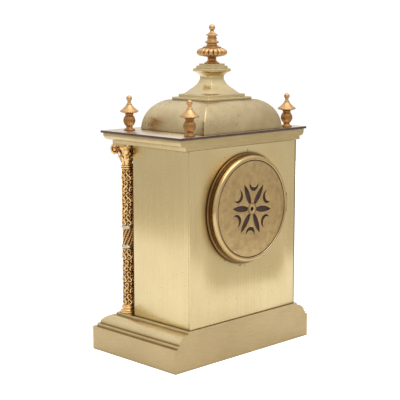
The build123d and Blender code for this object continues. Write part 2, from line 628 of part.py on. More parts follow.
with BuildPart() as pillar_nuts:
    for place in PILLARS:
        with BuildSketch(level(PILLAR_NUT_BACK, place)):
            RegularPolygon(3.0, 6)
            Circle(TENON, mode=Mode.SUBTRACT)
        extrude(amount=PILLAR_NUT_BACK - BACK_PLATE_BACK)
finish(pillar_nuts, "pillar_nuts")

with BuildPart() as movement_straps:
    for side in (-1, 1):
        block((side * 44.7, side * 46.1), (-36.5, 50), (MOVEMENT_Z - 4.5, MOVEMENT_Z + 4.5))
        block((side * 43.4, side * 46.1), (45, 50), (MOVEMENT_Z - 4.5, MOVEMENT_Z + 4.5))
        rod_y(side * 44.6, 0, 0.8, 45, 51, mode=Mode.SUBTRACT)
finish(movement_straps, "movement_straps")

with BuildPart() as movement_screws:
    for side in (-1, 1):
        rod_y(side * 44.6, 0, 0.8, 45.2, 52)
        rod_y(side * 44.6, 0, 1.9, 52, 53.6)
    for degrees in LUG_ANGLES:
        rod_y(*polar(LUG_RADIUS, degrees), 0.8, -35.8, FRONT_PLATE_BACK)
        rod_y(*polar(LUG_RADIUS, degrees), 1.6, FRONT_PLATE_BACK, FRONT_PLATE_BACK + 1.4)
finish(movement_screws, "movement_screws")

# ---------------------------------------------------------------- dial and hands
HANDS_MINUTE_ANGLE = 60
HANDS_HOUR_ANGLE = 305
with BuildPart() as dial:
    rod_y(0, 0, 44.5, -39.2, -38.0)
    rod_y(0, 0, 3.2, -40, -37, mode=Mode.SUBTRACT)
    rod_y(*BARREL, 3.4, -40, -37, mode=Mode.SUBTRACT)
finish(dial, "dial")


def hand(length, boss, bore, blade, bead, angle, front, back):
    """A slim hand with a round boss and a ring near its tip, pointing clockwise from twelve by its angle."""
    turn = radians(angle)
    with BuildPart() as blank:
        with BuildSketch(level(back, along=(sin(turn), cos(turn)))):
            Circle(boss)
            Polygon((0, -blade), (length, 0), (0, blade), align=None)
            with Locations((length * 0.62, 0)):
                Circle(bead)
                Circle(bead * 0.5, mode=Mode.SUBTRACT)
            Circle(bore, mode=Mode.SUBTRACT)
        extrude(amount=back - front)
    return blank


MINUTE_TUBE = 1.75
HOUR_PIPE_BORE = 1.83
HOUR_PIPE = 2.6
minute_hand = hand(38.0, 2.9, MINUTE_TUBE, 1.1, 1.9, HANDS_MINUTE_ANGLE, -42.3, -41.6)
finish(minute_hand, "minute_hand")
hour_hand = hand(25.0, 3.9, HOUR_PIPE, 1.5, 2.4, HANDS_HOUR_ANGLE, -40.9, -40.2)
finish(hour_hand, "hour_hand")

# ---------------------------------------------------------------- motion work between the plate and the dial
with BuildPart() as cannon_pinion:
    add(toothed_disc(CANNON_LEAVES, MOTION_MODULE, 0, PINION_LEAF, CENTRE, -33.9, -31.6))
    rod_y(0, 0, MINUTE_TUBE, -42.3, -30.2)
    with BuildSketch(level(-30.4)):
        Circle(3.2)
        Polygon((0, 3.2), (4.7, 0), (0, -3.2), align=None)
    extrude(amount=0.9)
    rod_y(0, 0, 1.2 + RUNNING, -43, -30, mode=Mode.SUBTRACT)
finish(cannon_pinion, "cannon_pinion")

with BuildPart() as reverse_wheel:
    add(toothed_disc(REVERSE_TEETH, MOTION_MODULE, reverse_phase, WHEEL_TOOTH, REVERSE, -33.6, -32.1))
    add(toothed_disc(REVERSE_LEAVES, MOTION_MODULE, 0, PINION_LEAF, REVERSE, -36.6, -33.6))
    rod_y(*REVERSE, 0.9 + RUNNING, -37, -32, mode=Mode.SUBTRACT)
finish(reverse_wheel, "reverse_wheel")

with BuildPart() as hour_wheel:
    add(toothed_disc(HOUR_TEETH, MOTION_MODULE, hour_phase, WHEEL_TOOTH, CENTRE, -36.3, -34.9))
    rod_y(0, 0, HOUR_PIPE, -40.9, -34.9)
    rod_y(0, 0, HOUR_PIPE_BORE, -41, -34, mode=Mode.SUBTRACT)
finish(hour_wheel, "hour_wheel")

# ---------------------------------------------------------------- barrel and winding
DRUM_RADIUS = 17.5
DRUM_BORE = 16.0
DRUM_FRONT = -22.4
DRUM_BACK = -0.8
ARBOR_RADIUS = 3.0
RATCHET_BORE = 1.8
RATCHET_TEETH = 24
with BuildPart() as barrel:
    add(toothed_disc(BARREL_TEETH, BARREL_MODULE, 0, WHEEL_TOOTH, BARREL, -24.4, DRUM_FRONT))
    rod_y(*BARREL, DRUM_RADIUS, DRUM_FRONT, DRUM_BACK)
    rod_y(*BARREL, DRUM_BORE, DRUM_FRONT, DRUM_BACK + 1, mode=Mode.SUBTRACT)
    rod_y(*BARREL, ARBOR_RADIUS + RUNNING, -25, DRUM_FRONT + 1, mode=Mode.SUBTRACT)
finish(barrel, "barrel")

with BuildPart() as barrel_cover:
    rod_y(*BARREL, DRUM_BORE, DRUM_BACK - 1.0, DRUM_BACK)
    rod_y(*BARREL, ARBOR_RADIUS + RUNNING, DRUM_BACK - 2, DRUM_BACK + 1, mode=Mode.SUBTRACT)
finish(barrel_cover, "barrel_cover")


def spiral(inner, outer, turns, sheet, per_turn):
    """A flat coiled strip, as corners out along one side and back along the other."""
    steps = int(turns * per_turn)
    radii = [inner + (outer - inner) * step / steps for step in range(steps + 1)]
    angles = [tau * step / per_turn for step in range(steps + 1)]
    outward = list(zip(radii, angles))
    homeward = [(radius - sheet, angle) for radius, angle in reversed(outward)]
    return [(radius * cos(angle), radius * sin(angle)) for radius, angle in outward + homeward]


with BuildPart() as mainspring:
    with BuildSketch(level(-3.0, BARREL)):
        with BuildLine():
            Polyline(*spiral(4.2, 15.7, 7, 0.6, 20), close=True)
        make_face()
    extrude(amount=18.2)
finish(mainspring, "mainspring")

with BuildPart() as barrel_arbor:
    rod_y(*BARREL, ARBOR_RADIUS, -26.0, 0.6)
    rod_y(*BARREL, BARREL_PIVOT, -31.0, BACK_PLATE_BACK)
    rod_y(*BARREL, RATCHET_BORE, BACK_PLATE_BACK, 12.4)
    with BuildSketch(level(-31.0, BARREL)):
        Rectangle(3.0, 3.0)
    extrude(amount=8.8)
finish(barrel_arbor, "barrel_arbor")

RATCHET_ROOT = 7.8
RATCHET_TIP = 9.0
with BuildPart() as ratchet_wheel:
    with BuildSketch(level(11.2, BARREL)):
        with BuildLine():
            corners = []
            for tooth in range(RATCHET_TEETH):
                angle = tooth * tau / RATCHET_TEETH
                for radius in (RATCHET_ROOT, RATCHET_TIP):
                    corners.append((radius * cos(angle), radius * sin(angle)))
            Polyline(*corners, close=True)
        make_face()
        Circle(RATCHET_BORE, mode=Mode.SUBTRACT)
    extrude(amount=1.6)
finish(ratchet_wheel, "ratchet_wheel")

with BuildPart() as ratchet_click:
    with BuildSketch(level(11.2, BARREL)):
        Polygon((-8.35, 0.15), (-8.42, 0.75), (-9.5, 2.6), (-9.0, 8.4), (-10.6, 9.8), (-10.9, 2.2),
                (-9.6, 0.2), align=None)
        with Locations((PAWL[0], PAWL[1] - BARREL[1])):
            Circle(1.9)
            Circle(0.9 + RUNNING, mode=Mode.SUBTRACT)
    extrude(amount=1.6)
finish(ratchet_click, "ratchet_click")


# ---------------------------------------------------------------- going train
def arbor(place, radius, pivot, shoulders=(-27.2, 6.2), ends=(-29.8, 8.8)):
    rod_y(*place, radius, *shoulders)
    rod_y(*place, pivot, *ends)


with BuildPart() as intermediate_wheel:
    add(toothed_disc(SLOW_TEETH, SLOW_MODULE, 0, WHEEL_TOOTH, SLOW, -26.8, -25.6))
    add(crossings(SLOW, 12.4, 4.6, -26.8, -25.6), mode=Mode.SUBTRACT)
    add(toothed_disc(SLOW_LEAVES, BARREL_MODULE, slow_pinion_phase, PINION_LEAF, SLOW, -25.6, -21.9))
    arbor(SLOW, 1.2, PIVOT)
finish(intermediate_wheel, "intermediate_wheel")

with BuildPart() as centre_wheel:
    add(toothed_disc(CENTRE_TEETH, CENTRE_MODULE, 0, WHEEL_TOOTH, CENTRE, 0.6, 1.8))
    add(crossings(CENTRE, 11.2, 3.4, 0.6, 1.8), mode=Mode.SUBTRACT)
    add(toothed_disc(CENTRE_LEAVES, SLOW_MODULE, centre_pinion_phase, PINION_LEAF, CENTRE, -27.2, -25.2))
    arbor(CENTRE, 1.2, LARGE_PIVOT, (-43.2, 6.2))
finish(centre_wheel, "centre_wheel")

with BuildPart() as third_wheel:
    add(toothed_disc(THIRD_TEETH, THIRD_MODULE, 0, WHEEL_TOOTH, THIRD, -12.0, -10.8))
    add(crossings(THIRD, 9.8, 3.0, -12.0, -10.8), mode=Mode.SUBTRACT)
    add(toothed_disc(THIRD_LEAVES, CENTRE_MODULE, third_pinion_phase, PINION_LEAF, THIRD, 0.2, 2.2))
    arbor(THIRD, 0.9, PIVOT)
finish(third_wheel, "third_wheel")

with BuildPart() as fourth_wheel:
    add(toothed_disc(FOURTH_TEETH, FOURTH_MODULE, 0, WHEEL_TOOTH, FOURTH, 3.4, 4.4))
    add(crossings(FOURTH, 9.6, 2.8, 3.4, 4.4), mode=Mode.SUBTRACT)
    add(toothed_disc(FOURTH_LEAVES, THIRD_MODULE, fourth_pinion_phase, PINION_LEAF, FOURTH, -12.4, -10.4))
    arbor(FOURTH, 0.9, PIVOT)
finish(fourth_wheel, "fourth_wheel")

# ---------------------------------------------------------------- platform escapement behind the back plate
PLATFORM_BACK = 11.0
BRIDGE_FRONT = 14.4
COCK_FRONT = 20.4
STAFF_PIVOT = 0.3
ESCAPE_PIVOT = 0.4
with BuildPart() as escapement_platform:
    block((-17.0, 20.6), (BACK_PLATE_BACK, PLATFORM_BACK), (MOVEMENT_Z + 13.5, MOVEMENT_Z + 33.0))
    for place, radius in ((ESCAPE, 0.6), (PALLET, STAFF_PIVOT), (BALANCE, STAFF_PIVOT)):
        rod_y(*place, radius + RUNNING, BACK_PLATE_BACK - 1, PLATFORM_BACK + 1, mode=Mode.SUBTRACT)
finish(escapement_platform, "escapement_platform")

bridge_height = (MOVEMENT_Z + PALLET[1] - 2.2, MOVEMENT_Z + PALLET[1] + 2.2)
cock_height = (MOVEMENT_Z + BALANCE[1] - 2.4, MOVEMENT_Z + BALANCE[1] + 2.4)
with BuildPart() as escape_bridge:
    block((PALLET[0] - 1.6, 20.4), (BRIDGE_FRONT, 15.6), bridge_height)
    block((17.7, 20.4), (PLATFORM_BACK, BRIDGE_FRONT), bridge_height)
    for place, radius in ((ESCAPE, ESCAPE_PIVOT), (PALLET, STAFF_PIVOT)):
        rod_y(*place, radius + RUNNING, BRIDGE_FRONT - 1, 16, mode=Mode.SUBTRACT)
finish(escape_bridge, "escape_bridge")

with BuildPart() as balance_cock:
    block((-16.0, BALANCE[0] + 1.6), (COCK_FRONT, 21.8), cock_height)
    block((-16.0, -12.4), (PLATFORM_BACK, COCK_FRONT), cock_height)
    rod_y(*BALANCE, STAFF_PIVOT + RUNNING, COCK_FRONT - 1, 22, mode=Mode.SUBTRACT)
finish(balance_cock, "balance_cock")

ESCAPE_TEETH = 15
ESCAPE_TIP = 4.5
with BuildPart() as escape_wheel:
    with BuildSketch(level(13.0, ESCAPE)):
        with BuildLine():
            corners = []
            for tooth in range(ESCAPE_TEETH):
                angle = tooth * tau / ESCAPE_TEETH
                for radius, turn in ((3.4, 0), (ESCAPE_TIP, 0.06), (ESCAPE_TIP, 0.13), (3.4, 0.12)):
                    corners.append((radius * cos(angle + turn), radius * sin(angle + turn)))
            Polyline(*corners, close=True)
        make_face()
    extrude(amount=0.8)
    add(toothed_disc(ESCAPE_LEAVES, FOURTH_MODULE, escape_pinion_phase, PINION_LEAF, ESCAPE, 2.9, 4.9))
    rod_y(*ESCAPE, 0.6, 1.8, 14.2)
    rod_y(*ESCAPE, ESCAPE_PIVOT, 14.2, 15.5)
finish(escape_wheel, "escape_wheel")

with BuildPart() as pallet_lever:
    with BuildSketch(level(13.0, PALLET, along=(-1, 0))):
        Circle(1.2)
        Polygon((0.9, 0), (-2.0, 3.9), (-2.5, 3.45), (-0.6, 0), (-2.5, -3.45), (-2.0, -3.9), align=None)
        Polygon((0, 0.4), (5.2, 0.4), (5.2, 0.95), (6.1, 0.95), (6.1, 0.45), (5.6, 0.45),
                (5.6, -0.45), (6.1, -0.45), (6.1, -0.95), (5.2, -0.95), (5.2, -0.4), (0, -0.4), align=None)
    extrude(amount=0.8)
    rod_y(*PALLET, 0.6, 11.2, 14.2)
    rod_y(*PALLET, STAFF_PIVOT, 10.0, 15.5)
finish(pallet_lever, "pallet_lever")

with BuildPart() as balance_wheel:
    with BuildSketch(level(17.8, BALANCE)):
        Circle(8.0)
        Circle(6.6, mode=Mode.SUBTRACT)
        Rectangle(14.0, 1.2)
        Circle(1.4)
    extrude(amount=1.2)
    rod_y(*BALANCE, 0.6, 11.2, 20.2)
    rod_y(*BALANCE, 2.0, 12.2, 13.0)
    rod_y(*BALANCE, 1.2, 18.2, 19.6)
    rod_y(*BALANCE, STAFF_PIVOT, 10.0, 21.7)
finish(balance_wheel, "balance_wheel")

with BuildPart() as hairspring:
    with BuildSketch(level(19.2, BALANCE)):
        with BuildLine():
            Polyline(*spiral(1.5, 5.6, 5, 0.2, 20), close=True)
        make_face()
    extrude(amount=0.5)
finish(hairspring, "hairspring")

# ---------------------------------------------------------------- passing strike
BELL_RADIUS = 24.0
BELL_RIM = 22.0
BELL_CROWN = 37.0
with BuildPart() as bell:
    with BuildSketch(Plane((BELL[0], 0, MOVEMENT_Z + BELL[1]), (1, 0, 0), (0, 0, 1))):
        with BuildLine():
            ThreePointArc((BELL_RADIUS, BELL_RIM), (18.2, BELL_CROWN - 4.4), (4.0, BELL_CROWN))
            Polyline((4.0, BELL_CROWN), (1.1, BELL_CROWN), (1.1, BELL_CROWN - 1.5), (4.0, BELL_CROWN - 1.5))
            ThreePointArc((4.0, BELL_CROWN - 1.5), (17.2, BELL_CROWN - 5.7), (BELL_RADIUS - 1.5, BELL_RIM))
            Line((BELL_RADIUS - 1.5, BELL_RIM), (BELL_RADIUS, BELL_RIM))
        make_face()
    revolve(axis=Axis((BELL[0], 0, MOVEMENT_Z + BELL[1]), (0, 1, 0)))
finish(bell, "bell")

with BuildPart() as bell_stand:
    rod_y(*BELL, 2.6, BACK_PLATE_BACK, BACK_PLATE_BACK + 1.6)
    rod_y(*BELL, 1.7, BACK_PLATE_BACK, BELL_CROWN - 1.5)
    rod_y(*BELL, 1.1, BACK_PLATE_BACK, 40.0)
finish(bell_stand, "bell_stand")

with BuildPart() as bell_nut:
    add(turned_level([(1.1, BELL_CROWN), (3.0, BELL_CROWN), (3.0, 38.6), (1.1, 39.4)], *BELL))
finish(bell_nut, "bell_nut")

HEAD_RADIUS = 2.6
HEAD = polar(BELL_RADIUS + HEAD_RADIUS + 0.5, -60, BELL)


def arm(start, end, width, front, back):
    """A flat bar with rounded ends between two places in the movement."""
    run = (end[0] - start[0], end[1] - start[1])
    length = sqrt(run[0] ** 2 + run[1] ** 2)
    with BuildPart() as bar:
        with BuildSketch(level(back, start, (run[0] / length, run[1] / length))):
            with Locations((length / 2, 0)):
                SlotCenterToCenter(length, width)
        extrude(amount=back - front)
    return bar.part


with BuildPart() as strike_hammer:
    rod_y(*HAMMER, 1.0, -31.3, 14.0)
    rod_y(*HAMMER, 1.4, -27.2, 6.2)
    add(arm(HAMMER, HEAD, 2.6, 12.0, 13.5))
    rod_y(*HEAD, HEAD_RADIUS, 12.0, 27.0)
    add(arm(HAMMER, (0.0, -6.6), 2.2, -31.3, -30.4))
finish(strike_hammer, "strike_hammer")

# ---------------------------------------------------------------- one file for each piece
os.makedirs("parts", exist_ok=True)
for piece in finished:
    export_step(piece, "parts/" + piece.label + ".step")
print(len(finished), "pieces")
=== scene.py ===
from math import atan2, cos, pi, radians, sin, tau

import bmesh
import bpy
from mathutils import Matrix, Vector


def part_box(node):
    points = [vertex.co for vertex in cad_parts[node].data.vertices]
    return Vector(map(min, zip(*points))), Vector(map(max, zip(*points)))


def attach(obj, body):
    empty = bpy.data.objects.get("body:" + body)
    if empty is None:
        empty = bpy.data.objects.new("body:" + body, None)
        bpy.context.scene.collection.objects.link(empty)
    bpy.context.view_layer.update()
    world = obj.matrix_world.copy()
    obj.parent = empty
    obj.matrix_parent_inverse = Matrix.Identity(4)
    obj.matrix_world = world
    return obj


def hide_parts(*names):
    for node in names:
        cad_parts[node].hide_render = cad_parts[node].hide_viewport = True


# A brass clock that stands on the floor with its dial towards -Y and its round pierced door
# towards +Y. The scene is in metres, and the sizes of the pieces are given in millimetres.
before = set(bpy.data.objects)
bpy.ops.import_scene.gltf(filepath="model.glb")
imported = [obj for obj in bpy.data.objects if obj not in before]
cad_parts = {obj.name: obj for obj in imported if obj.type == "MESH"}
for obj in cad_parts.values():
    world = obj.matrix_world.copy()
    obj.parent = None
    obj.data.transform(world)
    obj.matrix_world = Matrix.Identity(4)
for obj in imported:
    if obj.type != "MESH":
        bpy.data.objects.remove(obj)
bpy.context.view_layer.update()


# ---------------------------------------------------------------- the moulded base
# A hollow brass plinth, cast and filed, with two steps, a rounded shoulder and a flat top. Its
# mouldings run round the front and the sides and end flush at the back. The case stands on it,
# and rods from below draw the whole clock together. It is lacquered over a fine brushed finish.
MM = 0.001


def closed_line(bm, corners):
    """Joins corners, in metres, into a closed line and gives its edges."""
    points = [bm.verts.new(corner) for corner in corners]
    return [bm.edges.new((points[n - 1], points[n])) for n in range(len(points))]


def mitred(levels, middle=0.0, hollow=False):
    """A block with square corners, whose levels are (half width, front, back, height).

    A hollow one joins its last level to its first, and any other is closed at both ends.
    """
    bm = bmesh.new()
    half_width, front, back, height = levels[0]
    corners = ((-half_width, front), (half_width, front), (half_width, back), (-half_width, back))
    first = edges = closed_line(bm, [Vector((x, y, height)) * MM for x, y in corners])
    for half_width, front, back, height in levels[1:]:
        grown = bmesh.ops.extrude_edge_only(bm, edges=edges)["geom"]
        edges = [part for part in grown if isinstance(part, bmesh.types.BMEdge)]
        centre = sum((v.co.y for part in edges for v in part.verts), 0) / 8
        for v in {v for part in edges for v in part.verts}:
            side = 1 if v.co.x > 0 else -1
            depth = back if v.co.y > centre else front
            v.co = Vector((side * half_width, depth, height)) * MM
    if hollow:
        bmesh.ops.bridge_loops(bm, edges=first + edges)
    else:
        bmesh.ops.edgeloop_fill(bm, edges=first)
        bmesh.ops.edgeloop_fill(bm, edges=edges)
    bmesh.ops.translate(bm, verts=bm.verts, vec=(0, middle * MM, 0))
    bmesh.ops.recalc_face_normals(bm, faces=bm.faces)
    return bm


def ease(bm, edges, radius, segments=2):
    """Rounds some edges, as a file and a buff leave them."""
    bmesh.ops.bevel(bm, geom=edges, offset=radius * MM, offset_type="OFFSET", affect="EDGES",
                    segments=segments, profile=0.5, material=-1, clamp_overlap=True)


def soften(bm, radius, angle=25, segments=2):
    """Rounds every edge that is sharper than an angle."""
    ease(bm, [edge for edge in bm.edges if edge.is_manifold and edge.calc_face_angle() > radians(angle)],
         radius, segments)


def bow(start, middle, end, steps=10):
    """Points along the round arc that runs from one point through another to a third."""
    a, b, c = Vector(start), Vector(middle), Vector(end)
    area = 2 * (a.x * (b.y - c.y) + b.x * (c.y - a.y) + c.x * (a.y - b.y))
    x = (a.dot(a) * (b.y - c.y) + b.dot(b) * (c.y - a.y) + c.dot(c) * (a.y - b.y)) / area
    y = (a.dot(a) * (c.x - b.x) + b.dot(b) * (a.x - c.x) + c.dot(c) * (b.x - a.x)) / area
    first = atan2(a.y - y, a.x - x)
    through = (atan2(b.y - y, b.x - x) - first) % tau
    last = (atan2(c.y - y, c.x - x) - first) % tau
    sweep = last if through < last else last - tau
    radius = (a - Vector((x, y))).length
    angles = [first + sweep * n / steps for n in range(steps + 1)]
    return [(x + radius * cos(angle), y + radius * sin(angle)) for angle in angles]


def between(b, c, a, d, t):
    """A value part of the way from b to c, on a smooth line that has come from a and goes on to d."""
    return 0.5 * (2 * b + (c - a) * t + (2 * a - 5 * b + 4 * c - d) * t * t + (3 * b - a - 3 * c + d) * t ** 3)


def flowing(points, per=6):
    """A smooth run of points through a few given ones."""
    padded = [points[0], *points, points[-1]]
    run = [points[0]]
    for before, start, end, after in zip(padded, padded[1:], padded[2:], padded[3:]):
        for n in range(1, per + 1):
            run.append(tuple(between(b, c, a, d, n / per) for a, b, c, d in zip(before, start, end, after)))
    return run


def finish_piece(name, bm, material, body="case", stands_for=(), crease=35):
    """Makes the mesh an object of the clock, smooth except across its creases."""
    mesh = bpy.data.meshes.new(name)
    bm.to_mesh(mesh)
    bm.free()
    mesh.shade_smooth()
    mesh.set_sharp_from_angle(angle=radians(crease))
    mesh.materials.append(material)
    piece = bpy.data.objects.new(name, mesh)
    bpy.context.scene.collection.objects.link(piece)
    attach(piece, body)
    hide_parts(*stands_for)
    return piece


def put(tree, kind, inputs=None, **settings):
    """Adds a node with its settings, and fills or links its inputs."""
    made = tree.nodes.new(kind)
    for key, value in settings.items():
        setattr(made, key, value)
    for key, value in (inputs or {}).items():
        if isinstance(value, bpy.types.NodeSocket):
            tree.links.new(value, made.inputs[key])
        else:
            made.inputs[key].default_value = value
    return made


def here(tree):
    """The place of each point of a piece."""
    return put(tree, "ShaderNodeTexCoord").outputs["Object"]


def maths(tree, operation, *values):
    """The answer of a sum on numbers or masks."""
    return put(tree, "ShaderNodeMath", dict(enumerate(values)), operation=operation).outputs[0]


def vectors(tree, operation, *values, answer="Vector"):
    """The answer of a sum on places."""
    return put(tree, "ShaderNodeVectorMath", dict(enumerate(values)), operation=operation).outputs[answer]


def fade(tree, value, start, end, least=0.0, most=1.0, **settings):
    """A mask that goes from least to most while a value goes from start to end."""
    ends = {"From Min": start, "From Max": end, "To Min": least, "To Max": most}
    return put(tree, "ShaderNodeMapRange", {"Value": value, **ends}, **settings).outputs[0]


def noise(tree, place, size, detail=2.0, **inputs):
    """Even clouds, whose size is how many fit in a metre."""
    return put(tree, "ShaderNodeTexNoise", {"Vector": place, "Scale": size, "Detail": detail, **inputs})


def laid_over(tree, mask, skirt_shade, over, **settings):
    """One colour laid over another where a mask says."""
    colours = {"Factor": mask, 6: skirt_shade, 7: over}
    return put(tree, "ShaderNodeMix", colours, data_type="RGBA", **settings).outputs[2]


def new_group(name, inputs, outputs):
    """An empty shader group with named sockets: inputs are (name, kind, value)."""
    tree = bpy.data.node_groups.new(name, "ShaderNodeTree")
    for label, kind, value in inputs:
        tree.interface.new_socket(name=label, in_out="INPUT", socket_type=kind).default_value = value
    for label, kind in outputs:
        tree.interface.new_socket(name=label, in_out="OUTPUT", socket_type=kind)
    return tree, tree.nodes.new("NodeGroupInput").outputs, tree.nodes.new("NodeGroupOutput")


VALUE, COLOUR, VECTOR = "NodeSocketFloat", "NodeSocketColor", "NodeSocketVector"

# Fine lines left by a brush or a lathe, stretched along one direction.
brushing, given, result = new_group("brushing", [("Stretch", VECTOR, (900, 900, 12))], [("Lines", VALUE)])
pulled = vectors(brushing, "MULTIPLY", here(brushing), given["Stretch"])
brushing.links.new(noise(brushing, pulled, 1.0, 4.0).outputs["Fac"], result.inputs["Lines"])

# Lacquer that has gone thin: broad pale and brown clouds, and small dark specks where it is through.
patina, given, result = new_group(
    "patina",
    [("Metal", COLOUR, (0.8, 0.6, 0.3, 1)), ("Stain", COLOUR, (0.4, 0.25, 0.1, 1)), ("Cloud Size", VALUE, 12.0),
     ("Cloud Amount", VALUE, 0.3), ("Speck Size", VALUE, 500.0), ("Speck Amount", VALUE, 0.3)],
    [("Color", COLOUR), ("Stain", VALUE)])
place = here(patina)
clouds = noise(patina, place, given["Cloud Size"], 5.0, Roughness=0.6).outputs["Fac"]
broad = maths(patina, "MULTIPLY", fade(patina, clouds, 0.38, 0.72), given["Cloud Amount"])
specks = noise(patina, place, given["Speck Size"]).outputs["Fac"]
patches = noise(patina, place, 38.0).outputs["Fac"]
fine = maths(patina, "MULTIPLY", fade(patina, specks, 0.58, 0.70), fade(patina, patches, 0.38, 0.58))
fine = maths(patina, "MULTIPLY", fine, given["Speck Amount"])
both = maths(patina, "MAXIMUM", broad, fine)
patina.links.new(laid_over(patina, both, given["Metal"], given["Stain"]), result.inputs["Color"])
patina.links.new(both, result.inputs["Stain"])

# Painted shade that darkens corners, hollows under mouldings and gaps between leaves where the light is shut
# out, together with old wax and tarnish there.
grime_and_shade, given, result = new_group(
    "grime_and_shade",
    [("Metal", COLOUR, (0.8, 0.6, 0.3, 1)), ("Dirt And Shade", COLOUR, (0.1, 0.05, 0.02, 1)), ("Reach", VALUE, 0.003),
     ("Amount", VALUE, 0.7)],
    [("Color", COLOUR), ("Dirt And Shade", VALUE)])
open_sky = put(grime_and_shade, "ShaderNodeAmbientOcclusion", {"Distance": given["Reach"]}, samples=6).outputs["AO"]
dirt_and_shade_mask = maths(grime_and_shade, "MULTIPLY", fade(grime_and_shade, open_sky, 0.85, 0.3), given["Amount"])
grime_and_shade.links.new(laid_over(grime_and_shade, dirt_and_shade_mask, given["Metal"], given["Dirt And Shade"]), result.inputs["Color"])
grime_and_shade.links.new(dirt_and_shade_mask, result.inputs["Dirt And Shade"])


def bare(name):
    """A new finish, with its node tree and its shader."""
    material = bpy.data.materials.new(name)
    material.use_nodes = True
    return material, material.node_tree, material.node_tree.nodes["Principled BSDF"]


LINES_DARKER, LINES_LIGHTER = 0.12, 0.06
STAIN_DULLS = 0.25


def metal(name, colour, stain, gloss, stretch=(700, 700, 14), clouds=(12, 0.35), specks=(600, 0.35),
          dirt_and_shade=(0.003, 0.5), scratch=0.08, dirt_and_shade_colour=(0.12, 0.07, 0.02)):
    """A metal with brushed lines, clouded lacquer, specks, and dirt with painted shade in its corners."""
    material, tree, shader = bare(name)
    aged = put(tree, "ShaderNodeGroup", node_tree=patina)
    for key, value in zip(("Metal", "Stain"), (colour, stain)):
        aged.inputs[key].default_value = (*value, 1)
    aged.inputs["Cloud Size"].default_value, aged.inputs["Cloud Amount"].default_value = clouds
    aged.inputs["Speck Size"].default_value, aged.inputs["Speck Amount"].default_value = specks
    # Darkens the colour where the surface is shut in: painted shade in corners, with old tarnish there.
    corners = put(tree, "ShaderNodeGroup", node_tree=grime_and_shade)
    corners.inputs["Dirt And Shade"].default_value = (*dirt_and_shade_colour, 1)
    corners.inputs["Reach"].default_value, corners.inputs["Amount"].default_value = dirt_and_shade
    tree.links.new(aged.outputs["Color"], corners.inputs["Metal"])
    brushed = put(tree, "ShaderNodeGroup", node_tree=brushing)
    brushed.inputs["Stretch"].default_value = stretch
    lines = brushed.outputs["Lines"]
    shade = fade(tree, lines, 0.25, 0.75, 1 - LINES_DARKER, 1 + LINES_LIGHTER)
    lined = laid_over(tree, 1.0, corners.outputs["Color"], shade, blend_type="MULTIPLY")
    tree.links.new(lined, shader.inputs["Base Color"])
    rough = fade(tree, lines, 0.0, 1.0, gloss - 0.05, gloss + 0.07)
    duller = put(tree, "ShaderNodeMath", {0: aged.outputs["Stain"], 1: STAIN_DULLS, 2: rough},
                 operation="MULTIPLY_ADD", use_clamp=True)
    tree.links.new(duller.outputs[0], shader.inputs["Roughness"])
    raised = put(tree, "ShaderNodeBump", {"Strength": scratch, "Distance": 0.4 * MM, "Height": lines})
    tree.links.new(raised.outputs["Normal"], shader.inputs["Normal"])
    shader.inputs["Metallic"].default_value = 1.0
    return material


base_brass = metal("base_brass", (0.62, 0.48, 0.26), (0.34, 0.23, 0.11), 0.33, stretch=(90, 90, 1100),
                   clouds=(9, 0.30), specks=(700, 0.25))
lit_shoulder_brass = metal("lit_shoulder_brass", (0.74, 0.60, 0.34), (0.40, 0.28, 0.12), 0.28, stretch=(90, 90, 1100),
                       clouds=(9, 0.30), specks=(700, 0.25))

BASE_HALF_WIDTH = 100.0
BASE_DEPTH = 63.3
BASE_HOLLOW = (78.2, -41.5, 59.3)
STEP_TOP = 28.2
shoulder = bow((5.7, 30.6), (10.4, 35.2), (15.4, 37.3))
insets = [(0, 0), (0, 24.6), (3.3, 24.6), (3.3, 27.9), (5.7, 27.9), *shoulder, (17.8, 37.3), (17.8, 39.8)]
levels = [(*BASE_HOLLOW, 35.8), (*BASE_HOLLOW, 0)]
levels += [(BASE_HALF_WIDTH - inset, inset - BASE_DEPTH, BASE_DEPTH, height) for inset, height in insets]
bm = mitred(levels)
soften(bm, 0.3)
# The upward faces of the rounded shoulder above the steps get a brighter copy of the base brass: painted light,
# as they face the bright ceiling.
for face in bm.faces:
    face.material_index = 1 if face.calc_center_median().z > STEP_TOP * MM and face.normal.z > 0.15 else 0
plinth = finish_piece("base_plinth", bm, base_brass, stands_for=["base_moulding"])
plinth.data.materials.append(lit_shoulder_brass)


# ---------------------------------------------------------------- floor, rods and nuts
# A sheet of black japanned iron closes the hollow base and is held by screws. Steel rods with
# hexagon nuts run up inside the case and the columns, and pull base, case and cornice together.
def dress(material, *nodes):
    """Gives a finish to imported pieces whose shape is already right."""
    for node in nodes:
        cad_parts[node].material_slots[0].material = material


black_japan = metal("black_japan", (0.030, 0.027, 0.025), (0.09, 0.05, 0.03), 0.35, stretch=(300, 300, 300),
                    clouds=(30, 0.4), specks=(500, 0.5), scratch=0.2)
black_japan.node_tree.nodes["Principled BSDF"].inputs["Metallic"].default_value = 0.0
dress(black_japan, "base_floor")
bright_steel = metal("bright_steel", (0.56, 0.55, 0.53), (0.30, 0.25, 0.20), 0.28, stretch=(600, 600, 200),
                     clouds=(60, 0.4), specks=(800, 0.5), dirt_and_shade=(0.001, 0.7), dirt_and_shade_colour=(0.08, 0.05, 0.03))
dress(bright_steel, "floor_screws", "tie_rods", "tie_nuts")


# ---------------------------------------------------------------- the case
# Sheet brass panels, thick enough to take screws, joined at the corners behind the columns. They
# are brushed from top to bottom, with the sharp corners just broken by a file.
case_brass = metal("case_brass", (0.81, 0.66, 0.37), (0.47, 0.33, 0.15), 0.22, stretch=(1500, 1500, 10),
                   clouds=(7, 0.30), specks=(420, 0.30), scratch=0.10)


